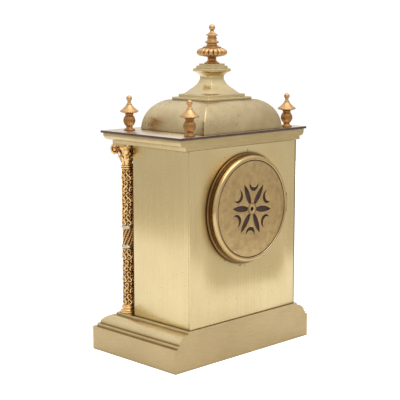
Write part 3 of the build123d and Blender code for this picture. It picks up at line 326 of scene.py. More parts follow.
def block(low, high):
    """A plain block between two opposite corners."""
    bm = bmesh.new()
    bmesh.ops.create_cube(bm, size=1.0)
    bmesh.ops.scale(bm, vec=high - low, verts=bm.verts)
    bmesh.ops.translate(bm, vec=(high + low) / 2, verts=bm.verts)
    return bm


PANEL_GAP = Vector((0, 0, 0.25 * MM))
PANEL_CORNER = 0.35
for side in ("left", "right"):
    low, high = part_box("side_panel_" + side)
    bm = block(low + PANEL_GAP, high - PANEL_GAP)
    soften(bm, PANEL_CORNER)
    finish_piece("panel_" + side, bm, case_brass, stands_for=["side_panel_" + side])

MOVEMENT = Vector((0, 0, 0.154))


def draw_out(bm, faces, by):
    """Draws faces out along a vector, in metres, and gives them a thickness."""
    grown = bmesh.ops.extrude_face_region(bm, geom=faces)["geom"]
    bmesh.ops.translate(bm, vec=by, verts=[v for v in grown if isinstance(v, bmesh.types.BMVert)])


def pierced_sheet(node, hole_radius):
    """A flat upright panel with a round hole about the middle of the movement."""
    low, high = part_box(node)
    low, high = low + PANEL_GAP, high - PANEL_GAP
    bm = bmesh.new()
    corners = ((low.x, low.z), (high.x, low.z), (high.x, high.z), (low.x, high.z))
    closed_line(bm, [(x, low.y, z) for x, z in corners])
    upright = Matrix.Translation((0, low.y, MOVEMENT.z)) @ Matrix.Rotation(radians(90), 4, "X")
    bmesh.ops.create_circle(bm, segments=128, radius=hole_radius * MM, matrix=upright)
    bmesh.ops.triangle_fill(bm, use_beauty=True, edges=bm.edges, normal=(0, -1, 0))
    draw_out(bm, bm.faces, (0, high.y - low.y, 0))
    bmesh.ops.recalc_face_normals(bm, faces=bm.faces)
    soften(bm, PANEL_CORNER, angle=60)
    return bm


# Small scratches and knocks in the lacquer, where the dark metal shows through with a ragged edge.
# Each is (across, up, half length across, half length up), in millimetres.
KNOCKS = ((-3.2, 212.5, 0.7, 2.6), (-6.8, 226.0, 0.4, 2.4), (29.6, 103.8, 1.6, 0.8), (7.0, 95.2, 3.0, 0.6),
          (0.6, 94.2, 0.5, 1.2), (-29.0, 100.6, 0.8, 0.8), (31.0, 208.0, 0.6, 0.6), (12.0, 61.0, 0.7, 0.5),
          (-48.0, 74.0, 0.5, 0.9))
RAGGED = 1.6
KNOCK_DEPTH = 0.75
knocks, given, result = new_group(
    "knocks",
    [("Metal", COLOUR, (0.8, 0.6, 0.3, 1)), ("Dark", COLOUR, (0.08, 0.05, 0.02, 1))],
    [("Color", COLOUR)])
place = here(knocks)
ragged = noise(knocks, place, 900.0, 3.0).outputs["Color"]
jitter = vectors(knocks, "MULTIPLY", ragged, (RAGGED * MM, 0.0, RAGGED * MM))
place = vectors(knocks, "ADD", place, jitter)
marked = None
for across, up, wide, tall in KNOCKS:
    middle = ((across + RAGGED / 2) * MM, 0.062, (up + RAGGED / 2) * MM)
    away = vectors(knocks, "SUBTRACT", place, middle)
    scaled = vectors(knocks, "MULTIPLY", away, (1 / (wide * MM), 0.0, 1 / (tall * MM)))
    mark = fade(knocks, vectors(knocks, "LENGTH", scaled, answer="Value"), 1.15, 0.6)
    marked = mark if marked is None else maths(knocks, "MAXIMUM", marked, mark)
marked = maths(knocks, "MULTIPLY", marked, KNOCK_DEPTH)
knocks.links.new(laid_over(knocks, marked, given["Metal"], given["Dark"]), result.inputs["Color"])


def reopened(material):
    """A finish's node tree, its shader and the colour that it has so far."""
    tree = material.node_tree
    shader = tree.nodes["Principled BSDF"]
    return tree, shader, shader.inputs["Base Color"].links[0].from_socket


def from_axis(tree, place):
    """How far each point lies from the axis of the movement."""
    away = vectors(tree, "SUBTRACT", place, MOVEMENT)
    return vectors(tree, "LENGTH", vectors(tree, "MULTIPLY", away, (1, 0, 1)), answer="Value")


# Close round the drum a brown ring is painted, standing for the drum's shade and its dark reflection in the
# panel, with a duller patch about it. Along the panel's edge on one side a dark band is painted, standing for
# the dark surroundings that this edge mirrors.
DRUM_SHADE_REACH = (59.5 * MM, 55.5 * MM)
DULLED = (86 * MM, 58 * MM)
BACK_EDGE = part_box("back_plate")[1].x
back_brass = case_brass.copy()
back_brass.name = "back_brass"
tree, shader, polished = reopened(back_brass)
place = here(tree)
reach = from_axis(tree, place)
drum_shade = fade(tree, reach, *DRUM_SHADE_REACH, interpolation_type="SMOOTHSTEP")
dulled = fade(tree, reach, *DULLED, 0.0, 0.14, interpolation_type="SMOOTHSTEP")
buffed = shader.inputs["Roughness"].links[0].from_socket
tree.links.new(maths(tree, "ADD", buffed, dulled), shader.inputs["Roughness"])
# The brown ring is painted shade and painted reflection of the drum.
drum_shaded = laid_over(tree, drum_shade, polished, (0.13, 0.065, 0.015, 1))
# A dark band along one edge of the panel: painted reflection of dark surroundings.
sideways = put(tree, "ShaderNodeSeparateXYZ", {0: place}).outputs["X"]
edge_shade = fade(tree, sideways, -BACK_EDGE + 2.6 * MM, -BACK_EDGE + 1.2 * MM, 0.0, 0.85)
edge_shaded = laid_over(tree, edge_shade, drum_shaded, (0.10, 0.06, 0.03, 1))
scarred = put(tree, "ShaderNodeGroup", {"Metal": edge_shaded}, node_tree=knocks)
tree.links.new(scarred.outputs["Color"], shader.inputs["Base Color"])
bm = pierced_sheet("back_plate", 48.85)
finish_piece("panel_back", bm, back_brass, stands_for=["back_plate"])
bm = pierced_sheet("front_plate", 46.95)
# The narrow side faces look into the corner recesses and take the recess brown, which is painted shade.
for face in bm.faces:
    face.material_index = 1 if abs(face.normal.x) > 0.9 and abs(face.calc_center_median().x) > 60 * MM else 0
panel_front = finish_piece("panel_front", bm, case_brass, stands_for=["front_plate"])


# ---------------------------------------------------------------- the cornice
# A brass moulding cut from the solid: a fillet, a fine step and a quarter round that carries the
# top plate out over the columns. It is flush with the back of the case, where its joint shows.
ovolo = bow((85.8, 222.0), (89.5, 223.5), (91.0, 227.2))
profile = [(84.3, 218.3), (84.3, 222.0), *ovolo, (91.0, 229.2)]
CORNICE_HOLLOW = (68, -31, 51)
CORNICE_BACK = 62.0
SIDE_TO_FRONT = 38.2
levels = [(*CORNICE_HOLLOW, 229.2), (*CORNICE_HOLLOW, 218.3)]
levels += [(reach, SIDE_TO_FRONT - reach, CORNICE_BACK, height) for reach, height in profile]
bm = mitred(levels, hollow=True)
soften(bm, 0.25)
cornice_brass = metal("cornice_brass", (0.68, 0.55, 0.31), (0.44, 0.31, 0.14), 0.28, stretch=(60, 60, 900),
                      clouds=(12, 0.35), specks=(500, 0.35), dirt_and_shade=(0.003, 0.6))
finish_piece("cornice_moulding", bm, cornice_brass, stands_for=["cornice"])


# ---------------------------------------------------------------- the corner recesses
# Folded brass sheet closes each front corner behind its column. Its deep brown is painted shade, the shade of
# the recess, and it sets the gilt columns off.
recess_shade_brass = metal("recess_shade_brass", (0.40, 0.26, 0.10), (0.12, 0.06, 0.02), 0.45, stretch=(900, 900, 20),
                     clouds=(25, 0.6), specks=(500, 0.4), dirt_and_shade=(0.006, 0.8), dirt_and_shade_colour=(0.03, 0.015, 0.005))
dress(recess_shade_brass, "corner_angles")
panel_front.data.materials.append(recess_shade_brass)


# ---------------------------------------------------------------- the columns: feet and rings
# Each column is a stack of cast and turned pieces on a rod. Its foot is two rolls with a hollow
# between them, gilt like the shaft, and two silvered rings stand out above the middle.
def turned(outline, places=((0, 0),), steps=64):
    """Turned on upright axes from corners of (radius, height), in millimetres, closed if it has a bore."""
    bm = bmesh.new()
    for x, y in places:
        points = [bm.verts.new(Vector((x + radius, y, height)) * MM) for radius, height in outline]
        edges = [bm.edges.new(pair) for pair in zip(points, points[1:])]
        if outline[0][0] > 0:
            edges.append(bm.edges.new((points[-1], points[0])))
        bmesh.ops.spin(bm, geom=points + edges, cent=(x * MM, y * MM, 0), axis=(0, 0, 1), dvec=(0, 0, 0),
                       angle=tau, steps=steps, use_merge=True, use_duplicate=False)
    bmesh.ops.remove_doubles(bm, verts=bm.verts, dist=0.001 * MM)
    bmesh.ops.recalc_face_normals(bm, faces=bm.faces)
    return bm


COLUMNS = [(-72.8, -36.6), (72.8, -36.6)]
BORE = 2.3
column_gilt = metal("column_gilt", (0.96, 0.65, 0.30), (0.66, 0.34, 0.11), 0.25, stretch=(400, 400, 400),
                    clouds=(110, 0.40), specks=(900, 0.3), dirt_and_shade=(0.0013, 0.72), dirt_and_shade_colour=(0.14, 0.05, 0.015))
silver = metal("silver", (0.72, 0.67, 0.54), (0.44, 0.37, 0.24), 0.16, stretch=(200, 200, 900),
               clouds=(90, 0.5), specks=(900, 0.3), dirt_and_shade=(0.0015, 0.9), dirt_and_shade_colour=(0.10, 0.07, 0.04))
FOOT_LEVEL = 39.8
foot = [(BORE, 0), (8.8, 0), *bow((8.9, 0.1), (9.1, 1.1), (8.8, 2.2), 6), (7.9, 2.5),
        *flowing([(7.1, 2.9), (6.5, 3.8), (6.5, 4.5)], 3), *bow((6.9, 4.7), (7.65, 6.0), (6.9, 7.3), 7),
        (6.1, 7.5), (6.0, 8.2), (5.6, 8.8), (BORE, 8.8)]
bm = turned([(radius, FOOT_LEVEL + rise) for radius, rise in foot], COLUMNS, 48)
finish_piece("column_foot", bm, column_gilt, stands_for=["column_feet"])

RING_LEVELS = (110.5, 131.0)
CORE_RADIUS = 4.6
ring = [(CORE_RADIUS, -2.1), (5.7, -2.1), (5.9, -1.7), *bow((6.3, -1.5), (7.2, 0.0), (6.3, 1.5), 8),
        (6.0, 1.7), (5.9, 2.1), (CORE_RADIUS, 2.1)]
for name, level in zip(("low", "high"), RING_LEVELS):
    bm = turned([(radius, level + rise) for radius, rise in ring], COLUMNS, 48)
    stands_for = ["column_rings"] if name == "low" else []
    finish_piece("silver_ring_" + name, bm, silver, stands_for=stands_for)


# ---------------------------------------------------------------- the columns: pierced shafts
# A shaft is a tube inside a gilt openwork sleeve, cast with rows of S-scrolls and leaves; the tube's dark
# red-brown is painted shade seen through the openwork. The short length between the silver rings has slanting
# rows of beads instead.
def wire(points, thickness, sides=1, detail=2):
    """A mesh of rounded wire that flows near points of (across, out, up), in millimetres."""
    line = bpy.data.curves.new("wire", "CURVE")
    line.dimensions = "3D"
    line.bevel_depth = MM
    line.bevel_resolution = sides
    line.resolution_u = detail
    line.use_fill_caps = True
    spline = line.splines.new("NURBS")
    spline.points.add(len(points) - 1)
    for n, (point, (across, out, up)) in enumerate(zip(spline.points, points)):
        point.co = (across * MM, out * MM, up * MM, 1)
        point.radius = thickness[0] + (thickness[1] - thickness[0]) * sin(pi * n / (len(points) - 1))
    spline.order_u = 4
    spline.use_endpoint_u = True
    holder = bpy.data.objects.new("wire", line)
    mesh = bpy.data.meshes.new_from_object(holder)
    bpy.data.objects.remove(holder)
    bpy.data.curves.remove(line)
    return mesh


def wrapped(bm, ornament, place, radius, turn, level, flip=1):
    """Adds a copy of a flat ornament, bent round an upright column."""
    before = len(bm.verts)
    bm.from_mesh(ornament)
    bm.verts.ensure_lookup_table()
    for v in bm.verts[before:]:
        angle = turn + flip * v.co.x / (radius * MM)
        reach = radius * MM + v.co.y
        v.co = (place[0] * MM + reach * cos(angle), place[1] * MM + reach * sin(angle), level * MM + v.co.z)


curl = [(0.5, 3.1), (1.2, 3.6), (1.0, 4.6), (-0.4, 4.9), (-1.5, 3.9), (-1.5, 2.2), (-0.6, 0.8), (0.0, 0.0)]
scroll = curl + [(-across, -up) for across, up in curl[-2::-1]]
scroll = wire([(1.42 * across, 0.1, 1.12 * up) for across, up in scroll], (0.58, 1.02))
unit = bmesh.new()
unit.from_mesh(scroll)
for side in (-1, 1):
    for across, up, lean, long in ((0.65, 3.5, 20, 0.95), (1.5, 1.3, 35, 1.9), (1.8, -1.3, -25, 1.3)):
        matrix = (Matrix.Translation((side * across * MM, 0.2 * MM, side * up * MM))
                  @ Matrix.Rotation(radians(lean), 4, "Y") @ Matrix.Diagonal((0.85, 0.75, long, 1)))
        bmesh.ops.create_icosphere(unit, subdivisions=1, radius=MM, matrix=matrix)
openwork = bpy.data.meshes.new("openwork")
unit.to_mesh(openwork)
unit.free()

SCROLLS_ROUND = 6
SCROLL_ROWS = 5
SLEEVE_RADIUS = 5.5
bead_unit = bmesh.new()
bmesh.ops.create_icosphere(bead_unit, subdivisions=2, radius=1.12 * MM)
bead = bpy.data.meshes.new("bead")
bead_unit.to_mesh(bead)
bead_unit.free()
for name, column in zip(("right", "left"), COLUMNS):
    bm = bmesh.new()
    for low, high in ((48.6, 108.5), (133.0, 191.5)):
        pitch = (high - low) / SCROLL_ROWS
        for row in range(SCROLL_ROWS):
            for n in range(SCROLLS_ROUND):
                turn = tau * (n + 0.5 * (row % 2)) / SCROLLS_ROUND
                wrapped(bm, openwork, column, SLEEVE_RADIUS, turn, low + pitch * (row + 0.5), 1 - 2 * (row % 2))
    for strand in range(9):
        for n in range(9):
            turn = tau * strand / 9 + radians(75) * n / 8
            wrapped(bm, bead, column, 5.1, turn, 113.1 + 1.9 * n)
    bmesh.ops.recalc_face_normals(bm, faces=bm.faces)
    stands_for = ["column_shafts"] if name == "left" else []
    finish_piece("column_sleeve_" + name, bm, column_gilt, stands_for=stands_for, crease=60)
# The dark red-brown of the tube is painted shade inside the sleeve.
tube_in_shade = metal("tube_in_shade", (0.32, 0.14, 0.04), (0.10, 0.03, 0.01), 0.45, clouds=(90, 0.5))
bm = turned([(BORE, 48.6), (CORE_RADIUS, 48.6), (CORE_RADIUS, 191.5), (BORE, 191.5)], COLUMNS, 32)
finish_piece("column_tube", bm, tube_in_shade)


# ---------------------------------------------------------------- the columns: capitals
# Cast gilt brass, chased sharp: two small rolls, a bell with two ranks of curling leaves, a scroll
# under each corner, and a thin plate with hollow sides that carries the cornice.
CAPITAL_FOOT = 191.5
ABACUS_FOOT = 215.6
bell = [(BORE, 0), (5.7, 0.1), *bow((6.1, 0.3), (7.0, 1.2), (6.1, 2.1), 6), (5.9, 2.3),
        *bow((6.2, 2.5), (7.1, 3.4), (6.2, 4.3), 6),
        *flowing([(5.5, 4.6), (5.3, 8.0), (5.8, 13.0), (7.0, 18.0), (8.9, 22.2)], 3), (9.2, 23.0), (BORE, 23.0)]
LEAF_SPINE = [(0.0, 0.0), (0.25, 0.30), (0.6, 0.62), (1.5, 0.92), (2.8, 1.0), (3.5, 0.80)]


def leaf(bm, turn, reach, low, tall, wide, spread):
    """Adds a lobed leaf that climbs the bell of a capital and curls over at its tip."""
    spine = flowing(LEAF_SPINE, 2)
    made = bmesh.ops.create_grid(bm, x_segments=4, y_segments=len(spine) - 1, size=1.0)["verts"]
    for v in made:
        along = (v.co.y + 1) / 2
        row = round(along * (len(spine) - 1))
        out, up = spine[row]
        half = wide * (0.6 + 0.4 * sin(pi * along)) * (0.78 if row % 3 == 2 else 1.0) * (1 - 0.55 * along ** 4)
        bulge = 0.5 * (1 - abs(v.co.x)) + 0.12 * (row % 2)
        radius = reach + out * spread + bulge + 1.3 * along
        side = v.co.x * half
        x, y = radius * cos(turn) - side * sin(turn), radius * sin(turn) + side * cos(turn)
        v.co = Vector((x, y, low + tall * up)) * MM
    faces = {face for v in made for face in v.link_faces}
    bmesh.ops.solidify(bm, geom=list(faces), thickness=0.55 * MM)


coil = [(6.0, 8.0), (6.8, 12.0), (8.0, 17.0), (10.2, 21.4), (13.4, 23.3), (16.4, 21.8), (17.4, 18.2),
        (16.0, 14.6), (12.6, 13.8), (10.3, 16.6), (11.6, 20.0), (14.2, 19.8), (14.6, 17.8)]
volute = wire([(0, out, up) for out, up in coil], (1.10, 1.65), detail=3)
for name, (x, y) in zip(("right", "left"), COLUMNS):
    bm = turned([(radius, CAPITAL_FOOT + rise) for radius, rise in bell], steps=48)
    for n in range(8):
        leaf(bm, tau * n / 8, 5.3, CAPITAL_FOOT + 4.8, 8.8, 2.2, 0.8)
        leaf(bm, tau * (n + 0.5) / 8, 5.7, CAPITAL_FOOT + 9.0, 9.4, 2.4, 0.9)
    outward = 1 if x > 0 else -1
    for across, along in ((1, 1), (1, -1), (-1, 1), (-1, -1)):
        size, lift = (0.93, 2.6) if across == outward else (0.82, 0.0)
        before = len(bm.verts)
        bm.from_mesh(volute)
        eye = Matrix.Translation((0, 13.8 * MM, 17.9 * MM)) @ Matrix.Diagonal((1.1, 1, 1, 1))
        bmesh.ops.create_icosphere(bm, subdivisions=2, radius=2.4 * MM, matrix=eye)
        bm.verts.ensure_lookup_table()
        heading = atan2(along, across) - radians(90)
        for v in bm.verts[before:]:
            grown = Vector((v.co.x * 1.5, v.co.y * size, v.co.z + (CAPITAL_FOOT + lift) * MM))
            v.co = Matrix.Rotation(heading, 3, "Z") @ grown
        leaf(bm, atan2(along, across), 6.6, CAPITAL_FOOT + 7.5, 9.8, 2.9, 1.5 if lift else 0.0)
        for bead_up, bead_out in ((21.5, 8.6), (18.5, 7.4)):
            spot = Matrix.Translation((0, bead_out * MM, (CAPITAL_FOOT + bead_up) * MM))
            spot = Matrix.Rotation(heading, 4, "Z") @ spot
            bmesh.ops.create_icosphere(bm, subdivisions=1, radius=1.3 * MM, matrix=spot)
    bmesh.ops.recalc_face_normals(bm, faces=bm.faces)
    bmesh.ops.translate(bm, vec=(x * MM, y * MM, 0), verts=bm.verts)
    stands_for = ["column_capitals"] if name == "left" else []
    finish_piece("capital_" + name, bm, column_gilt, stands_for=stands_for, crease=60)

    west, east, south, north = -10.0, 12.0, -11.2, 14.0
    bm = bmesh.new()
    rim = [(west + 2, south),
           *bow((west + 2.2, south), ((west + east) / 2, south + 1.5), (east - 2.2, south), 8),
           (east - 2, south), (east, south + 2),
           *bow((east, south + 2.2), (east - 1.5, (south + north) / 2), (east, north - 2.2), 8),
           (east, north - 2), (east - 2, north), (west + 2, north), (west, north - 2), (west, south + 2)]
    corners = [Vector((x + outward * across, y + along, ABACUS_FOOT)) * MM for across, along in rim]
    bmesh.ops.edgeloop_fill(bm, edges=closed_line(bm, corners))
    for rise in (0.8, 1.9):
        top = max(v.co.z for v in bm.verts)
        faces = [face for face in bm.faces if face.calc_center_median().z > top - 1e-6]
        if rise > 1:
            bmesh.ops.inset_region(bm, faces=faces, thickness=0.6 * MM, use_even_offset=True)
            faces = [max(bm.faces, key=lambda face: (face.calc_center_median().z, len(face.verts)))]
        draw_out(bm, faces, (0, 0, rise * MM))
    bmesh.ops.recalc_face_normals(bm, faces=bm.faces)
    finish_piece("abacus_" + name, bm, column_gilt, crease=40)


# ---------------------------------------------------------------- the top plate
# A thin plate that lies on the cornice and stands out past it all round. It is bronzed nearly black; its flat
# faces get a near-white copy of the metal, a painted reflection of the dome and the bright room above. The
# finials hold it down.
plate_top_reflection = metal("plate_top_reflection", (0.98, 0.87, 0.74), (0.84, 0.68, 0.56), 0.24, stretch=(10, 900, 900),
                     clouds=(14, 0.5), specks=(500, 0.4), dirt_and_shade=(0.003, 0.6), scratch=0.04)
plate_edge = metal("plate_edge", (0.17, 0.125, 0.125), (0.06, 0.04, 0.04), 0.34, clouds=(60, 0.5), scratch=0.05)
bm = block(*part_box("top_slab"))
soften(bm, 0.35, segments=3)
# Flat faces take the near-white painted reflection; the edges keep the near-black bronze.
for face in bm.faces:
    face.material_index = 0 if abs(face.normal.z) > 0.95 else 1
top_plate = finish_piece("top_plate", bm, plate_top_reflection, stands_for=["top_slab"])
top_plate.data.materials.append(plate_edge)


# ---------------------------------------------------------------- the domed roof
# Four curved brass sheets, silver-soldered along the hips and filed so that each hip is a soft
# bright ridge. The lacquer is old, and the back slope is peppered with dark specks.
roof_brass = metal("roof_brass", (0.69, 0.56, 0.33), (0.30, 0.20, 0.09), 0.25, stretch=(60, 60, 60),
                   clouds=(16, 0.55), specks=(780, 1.0), dirt_and_shade=(0.012, 0.6), scratch=0.12)
ROOF_MIDDLE = 13.9
ROOF_FOOT = 231.6
ROOF_RISE = 30.8
ROOF_HALF_WIDTH, NARROWS_BY = 57.5, 25.7
ROOF_HALF_DEPTH, SHORTENS_BY = 46.5, 19.9
levels = []
for turn in [radians(90 * n / 16) for n in range(17)]:
    inward = 1 - cos(turn)
    half_depth = ROOF_HALF_DEPTH - SHORTENS_BY * inward
    levels.append((ROOF_HALF_WIDTH - NARROWS_BY * inward, -half_depth, half_depth,
                   ROOF_FOOT + ROOF_RISE * sin(turn)))
bm = mitred(levels, ROOF_MIDDLE)
soften(bm, 0.7, angle=30, segments=3)
finish_piece("roof_dome", bm, roof_brass, stands_for=["dome"], crease=50)


# ---------------------------------------------------------------- the neck under the main finial
# A brass casting on the dome: two flat steps, a neck that sweeps in to a waist, and a small moulded
# square cap. A long stud from the finial pulls it and the dome together.
neck_brass = metal("neck_brass", (0.73, 0.59, 0.33), (0.46, 0.32, 0.14), 0.18, stretch=(40, 40, 160),
                   clouds=(22, 0.25), specks=(600, 0.10), dirt_and_shade=(0.002, 0.5), scratch=0.02)
STEP_FOOT = ROOF_FOOT + ROOF_RISE
NECK_FOOT = STEP_FOOT + 5.7
steps_up = [(31.8, 26.6, 0.0), (31.8, 26.6, 2.2), (31.3, 26.1, 2.7), (27.6, 22.3, 2.7), (27.0, 21.7, 3.2),
            (27.0, 21.7, 5.2), (26.5, 21.2, 5.7)]
levels = [(x, -y, y, STEP_FOOT + rise) for x, y, rise in steps_up]
sweep_in = flowing([(1.0, 0.0), (0.82, 1.2), (0.61, 4.0), (0.23, 9.0), (0.03, 14.2), (0.0, 16.8)], 4)
WAIST = 8.7
for share, rise in sweep_in:
    half_depth = WAIST + 10.6 * share
    levels.append((WAIST + 15.6 * share, -half_depth, half_depth, NECK_FOOT + rise))
cap = [*flowing([(8.9, 18.4), (9.9, 20.2), (12.0, 22.2)], 3), (12.9, 22.4),
       *bow((13.4, 22.7), (14.0, 24.3), (13.4, 25.9), 6), (11.9, 26.4), (11.5, 27.0), (11.5, 28.5),
       (11.0, 28.9), (9.7, 28.9), (9.4, 29.3), (9.4, 30.9)]
levels += [(reach, -reach, reach, NECK_FOOT + rise) for reach, rise in cap]
bm = mitred(levels, ROOF_MIDDLE)
soften(bm, 0.3, angle=30)
finish_piece("roof_neck", bm, neck_brass, stands_for=["dome_pedestal"])


# ---------------------------------------------------------------- the finials
# Turned brass drops, heavily gilt to a coppery gold, that screw down through the top plate. The
# main one has a lobed bowl, chased by hand after turning.
finial_gilt = metal("finial_gilt", (0.66, 0.42, 0.20), (0.38, 0.18, 0.055), 0.34, stretch=(500, 500, 700),
                    clouds=(90, 0.4), specks=(900, 0.3), dirt_and_shade=(0.0025, 0.85), dirt_and_shade_colour=(0.20, 0.080, 0.018))

# Below the spreading skirt of a corner finial the gilding is painted darker, as painted shade under the skirt.
VASE_TOP = 248.5
tree, shader, gilded = reopened(finial_gilt)
height = put(tree, "ShaderNodeSeparateXYZ", {0: here(tree)}).outputs["Z"]
skirt_shade = fade(tree, height, (VASE_TOP + 0.6) * MM, (VASE_TOP - 1.5) * MM, 0.0, 0.62)
tree.links.new(laid_over(tree, skirt_shade, gilded, (0.25, 0.095, 0.014, 1)), shader.inputs["Base Color"])


def lobe(bm, middle, count, low, high, depth):
    """Chases upright grooves in a turned bowl, so that round lobes stand between them."""
    for v in bm.verts:
        share = (v.co.z / MM - low) / (high - low)
        if 0 < share < 1:
            spoke = v.co.xy - middle
            groove = 1 - abs(cos(atan2(spoke.y, spoke.x) * count / 2)) ** 0.55
            v.co.xy = middle + spoke * (1 - depth * groove * sin(pi * share) ** 0.7)


NECK_TOP = NECK_FOOT + 30.9
foot = [(0, 0), *bow((7.3, 0.0), (8.0, 0.6), (7.3, 1.2), 5), (6.6, 1.4),
        *flowing([(6.2, 1.8), (4.8, 2.9), (4.35, 3.6)], 3)]
bead = bow((4.3, 3.9), (4.9, 4.5), (4.3, 5.1), 5)
dish = flowing([(4.2, 5.4), (5.0, 6.3), (7.2, 6.9)], 3)
bowl = flowing([(8.1, 7.2), (12.4, 7.9), (15.0, 9.3), (15.8, 11.4), (15.2, 13.3), (12.9, 15.2), (9.9, 16.2)], 5)
collar = [*bow((9.4, 16.3), (9.6, 16.8), (9.1, 17.2), 4),
          *flowing([(8.0, 17.5), (5.9, 18.5), (5.1, 20.0)], 4)]
flange = [(5.3, 20.4), (6.8, 21.2), *bow((7.2, 21.3), (7.6, 21.9), (7.2, 22.5), 5), (6.0, 22.9)]
stalk = [*flowing([(5.0, 23.6), (4.7, 24.6), (4.9, 25.4)], 3), *bow((5.2, 25.6), (5.5, 26.0), (5.2, 26.4), 4),
         (4.4, 26.7), (4.2, 27.5)]
roof = [(4.6, 28.2), *bow((6.0, 28.4), (6.4, 28.8), (6.1, 29.3), 4),
        *flowing([(4.9, 30.0), (3.3, 31.2), (2.2, 32.4), (1.75, 33.2)], 3)]
ball = [(3.3 * cos(radians(a)), 36.6 + 3.3 * sin(radians(a))) for a in range(-55, 91, 12)]
outline = [*foot, *bead, *dish, *bowl, *collar, *flange, *stalk, *roof, (2.1, 33.6), *ball, (0, 39.9)]
bm = turned([(radius, NECK_TOP + rise) for radius, rise in outline], [(0, ROOF_MIDDLE)], steps=180)
lobe(bm, Vector((0, ROOF_MIDDLE)) * MM, 18, NECK_TOP + 7.1, NECK_TOP + 16.3, 0.13)
finish_piece("main_finial_lobed", bm, finial_gilt, stands_for=["main_finial"], crease=50)

foot = [(0, 0), *bow((5.4, 0.0), (5.8, 0.7), (5.3, 1.4), 5), (4.6, 1.5),
        *flowing([(4.3, 1.9), (3.4, 2.9), (3.3, 4.0)], 3)]
vase = [*flowing([(3.5, 4.3), (4.9, 6.0), (6.1, 8.6), (6.25, 10.5), (5.7, 12.8), (4.4, 14.9), (3.9, 16.0)], 4)]
neck = [*bow((4.1, 16.2), (4.5, 16.7), (4.1, 17.2), 4), (3.9, 17.4)]
skirt = [(5.4, 17.6), (7.4, 18.1), *bow((8.7, 18.6), (9.5, 19.5), (9.0, 20.4), 6),
         *flowing([(8.3, 20.9), (6.6, 22.2), (4.5, 24.2), (3.0, 26.2)], 4)]
tip = [*bow((2.7, 26.4), (2.9, 26.8), (2.5, 27.2), 4), *flowing([(2.0, 27.8), (1.7, 28.8), (1.9, 29.8)], 3)]
ball = [(3.0 * cos(radians(a)), 32.6 + 3.0 * sin(radians(a))) for a in range(-50, 90, 12)]
outline = [*foot, *vase, *neck, *skirt, *tip, *ball, (0, 35.6)]
FINIAL_ACROSS = 71.6
FINIAL_BACK = 54.3
FINIAL_FRONT = -34.1
for name, x, y in (("back_left", FINIAL_ACROSS, FINIAL_BACK), ("front_left", FINIAL_ACROSS, FINIAL_FRONT),
                   ("back_right", -FINIAL_ACROSS, FINIAL_BACK), ("front_right", -FINIAL_ACROSS, FINIAL_FRONT)):
    bm = turned([(radius, ROOF_FOOT + rise) for radius, rise in outline], [(x, y)], steps=96)
    lobe(bm, Vector((x, y)) * MM, 12, ROOF_FOOT + 4.5, ROOF_FOOT + 16.0, 0.07)
    stands_for = ["corner_finials"] if name == "back_left" else []
    finish_piece("finial_" + name, bm, finial_gilt, stands_for=stands_for, crease=45)


# ---------------------------------------------------------------- the back door and its drum
# A brass drum stands out of the back panel. It is turned with fine rings and has gone brown with
# age. A polished bezel is hinged on its far side, and holds a pierced disc.
drum_brass = metal("drum_brass", (0.29, 0.17, 0.060), (0.12, 0.06, 0.02), 0.32, stretch=(200, 2600, 200),
                   clouds=(25, 0.5), specks=(500, 0.3), dirt_and_shade=(0.0030, 0.95), dirt_and_shade_colour=(0.05, 0.020, 0.005))
bezel_brass = metal("bezel_brass", (0.66, 0.49, 0.25), (0.34, 0.20, 0.07), 0.12, stretch=(60, 60, 60),
                    clouds=(20, 0.25), specks=(700, 0.2), dirt_and_shade=(0.0015, 0.8), scratch=0.03)
disc_brass = metal("disc_brass", (0.61, 0.45, 0.22), (0.36, 0.22, 0.11), 0.40, stretch=(160, 160, 1300),
                   clouds=(150, 0.55), specks=(1100, 0.9), dirt_and_shade=(0.0012, 0.5), scratch=0.35)

# Painted shade darkens the joint between the disc and its bezel, and the foot of the boss in the middle.
tree, shader, chased = reopened(disc_brass)
reach = from_axis(tree, here(tree))
rim = fade(tree, reach, 48.7 * MM, 49.1 * MM, 0.0, 0.9)
past_boss = fade(tree, reach, 4.6 * MM, 5.1 * MM, 0.0, 0.6)
near_boss = fade(tree, reach, 6.9 * MM, 5.6 * MM, 0.0, 0.6)
joint_shade = maths(tree, "MAXIMUM", rim, maths(tree, "MINIMUM", past_boss, near_boss))
tree.links.new(laid_over(tree, joint_shade, chased, (0.10, 0.05, 0.015, 1)), shader.inputs["Base Color"])


def turned_level(outline, steps=144):
    """Turned on the front-to-back axis of the movement from a closed run of (radius, y) corners."""
    bm = bmesh.new()
    closed_line(bm, [(radius * MM, y * MM, MOVEMENT.z) for radius, y in outline])
    bmesh.ops.spin(bm, geom=bm.verts[:] + bm.edges[:], cent=MOVEMENT, axis=(0, 1, 0), dvec=(0, 0, 0), angle=tau,
                   steps=steps, use_merge=True, use_duplicate=False)
    bmesh.ops.remove_doubles(bm, verts=bm.verts, dist=0.001 * MM)
    bmesh.ops.recalc_face_normals(bm, faces=bm.faces)
    return bm


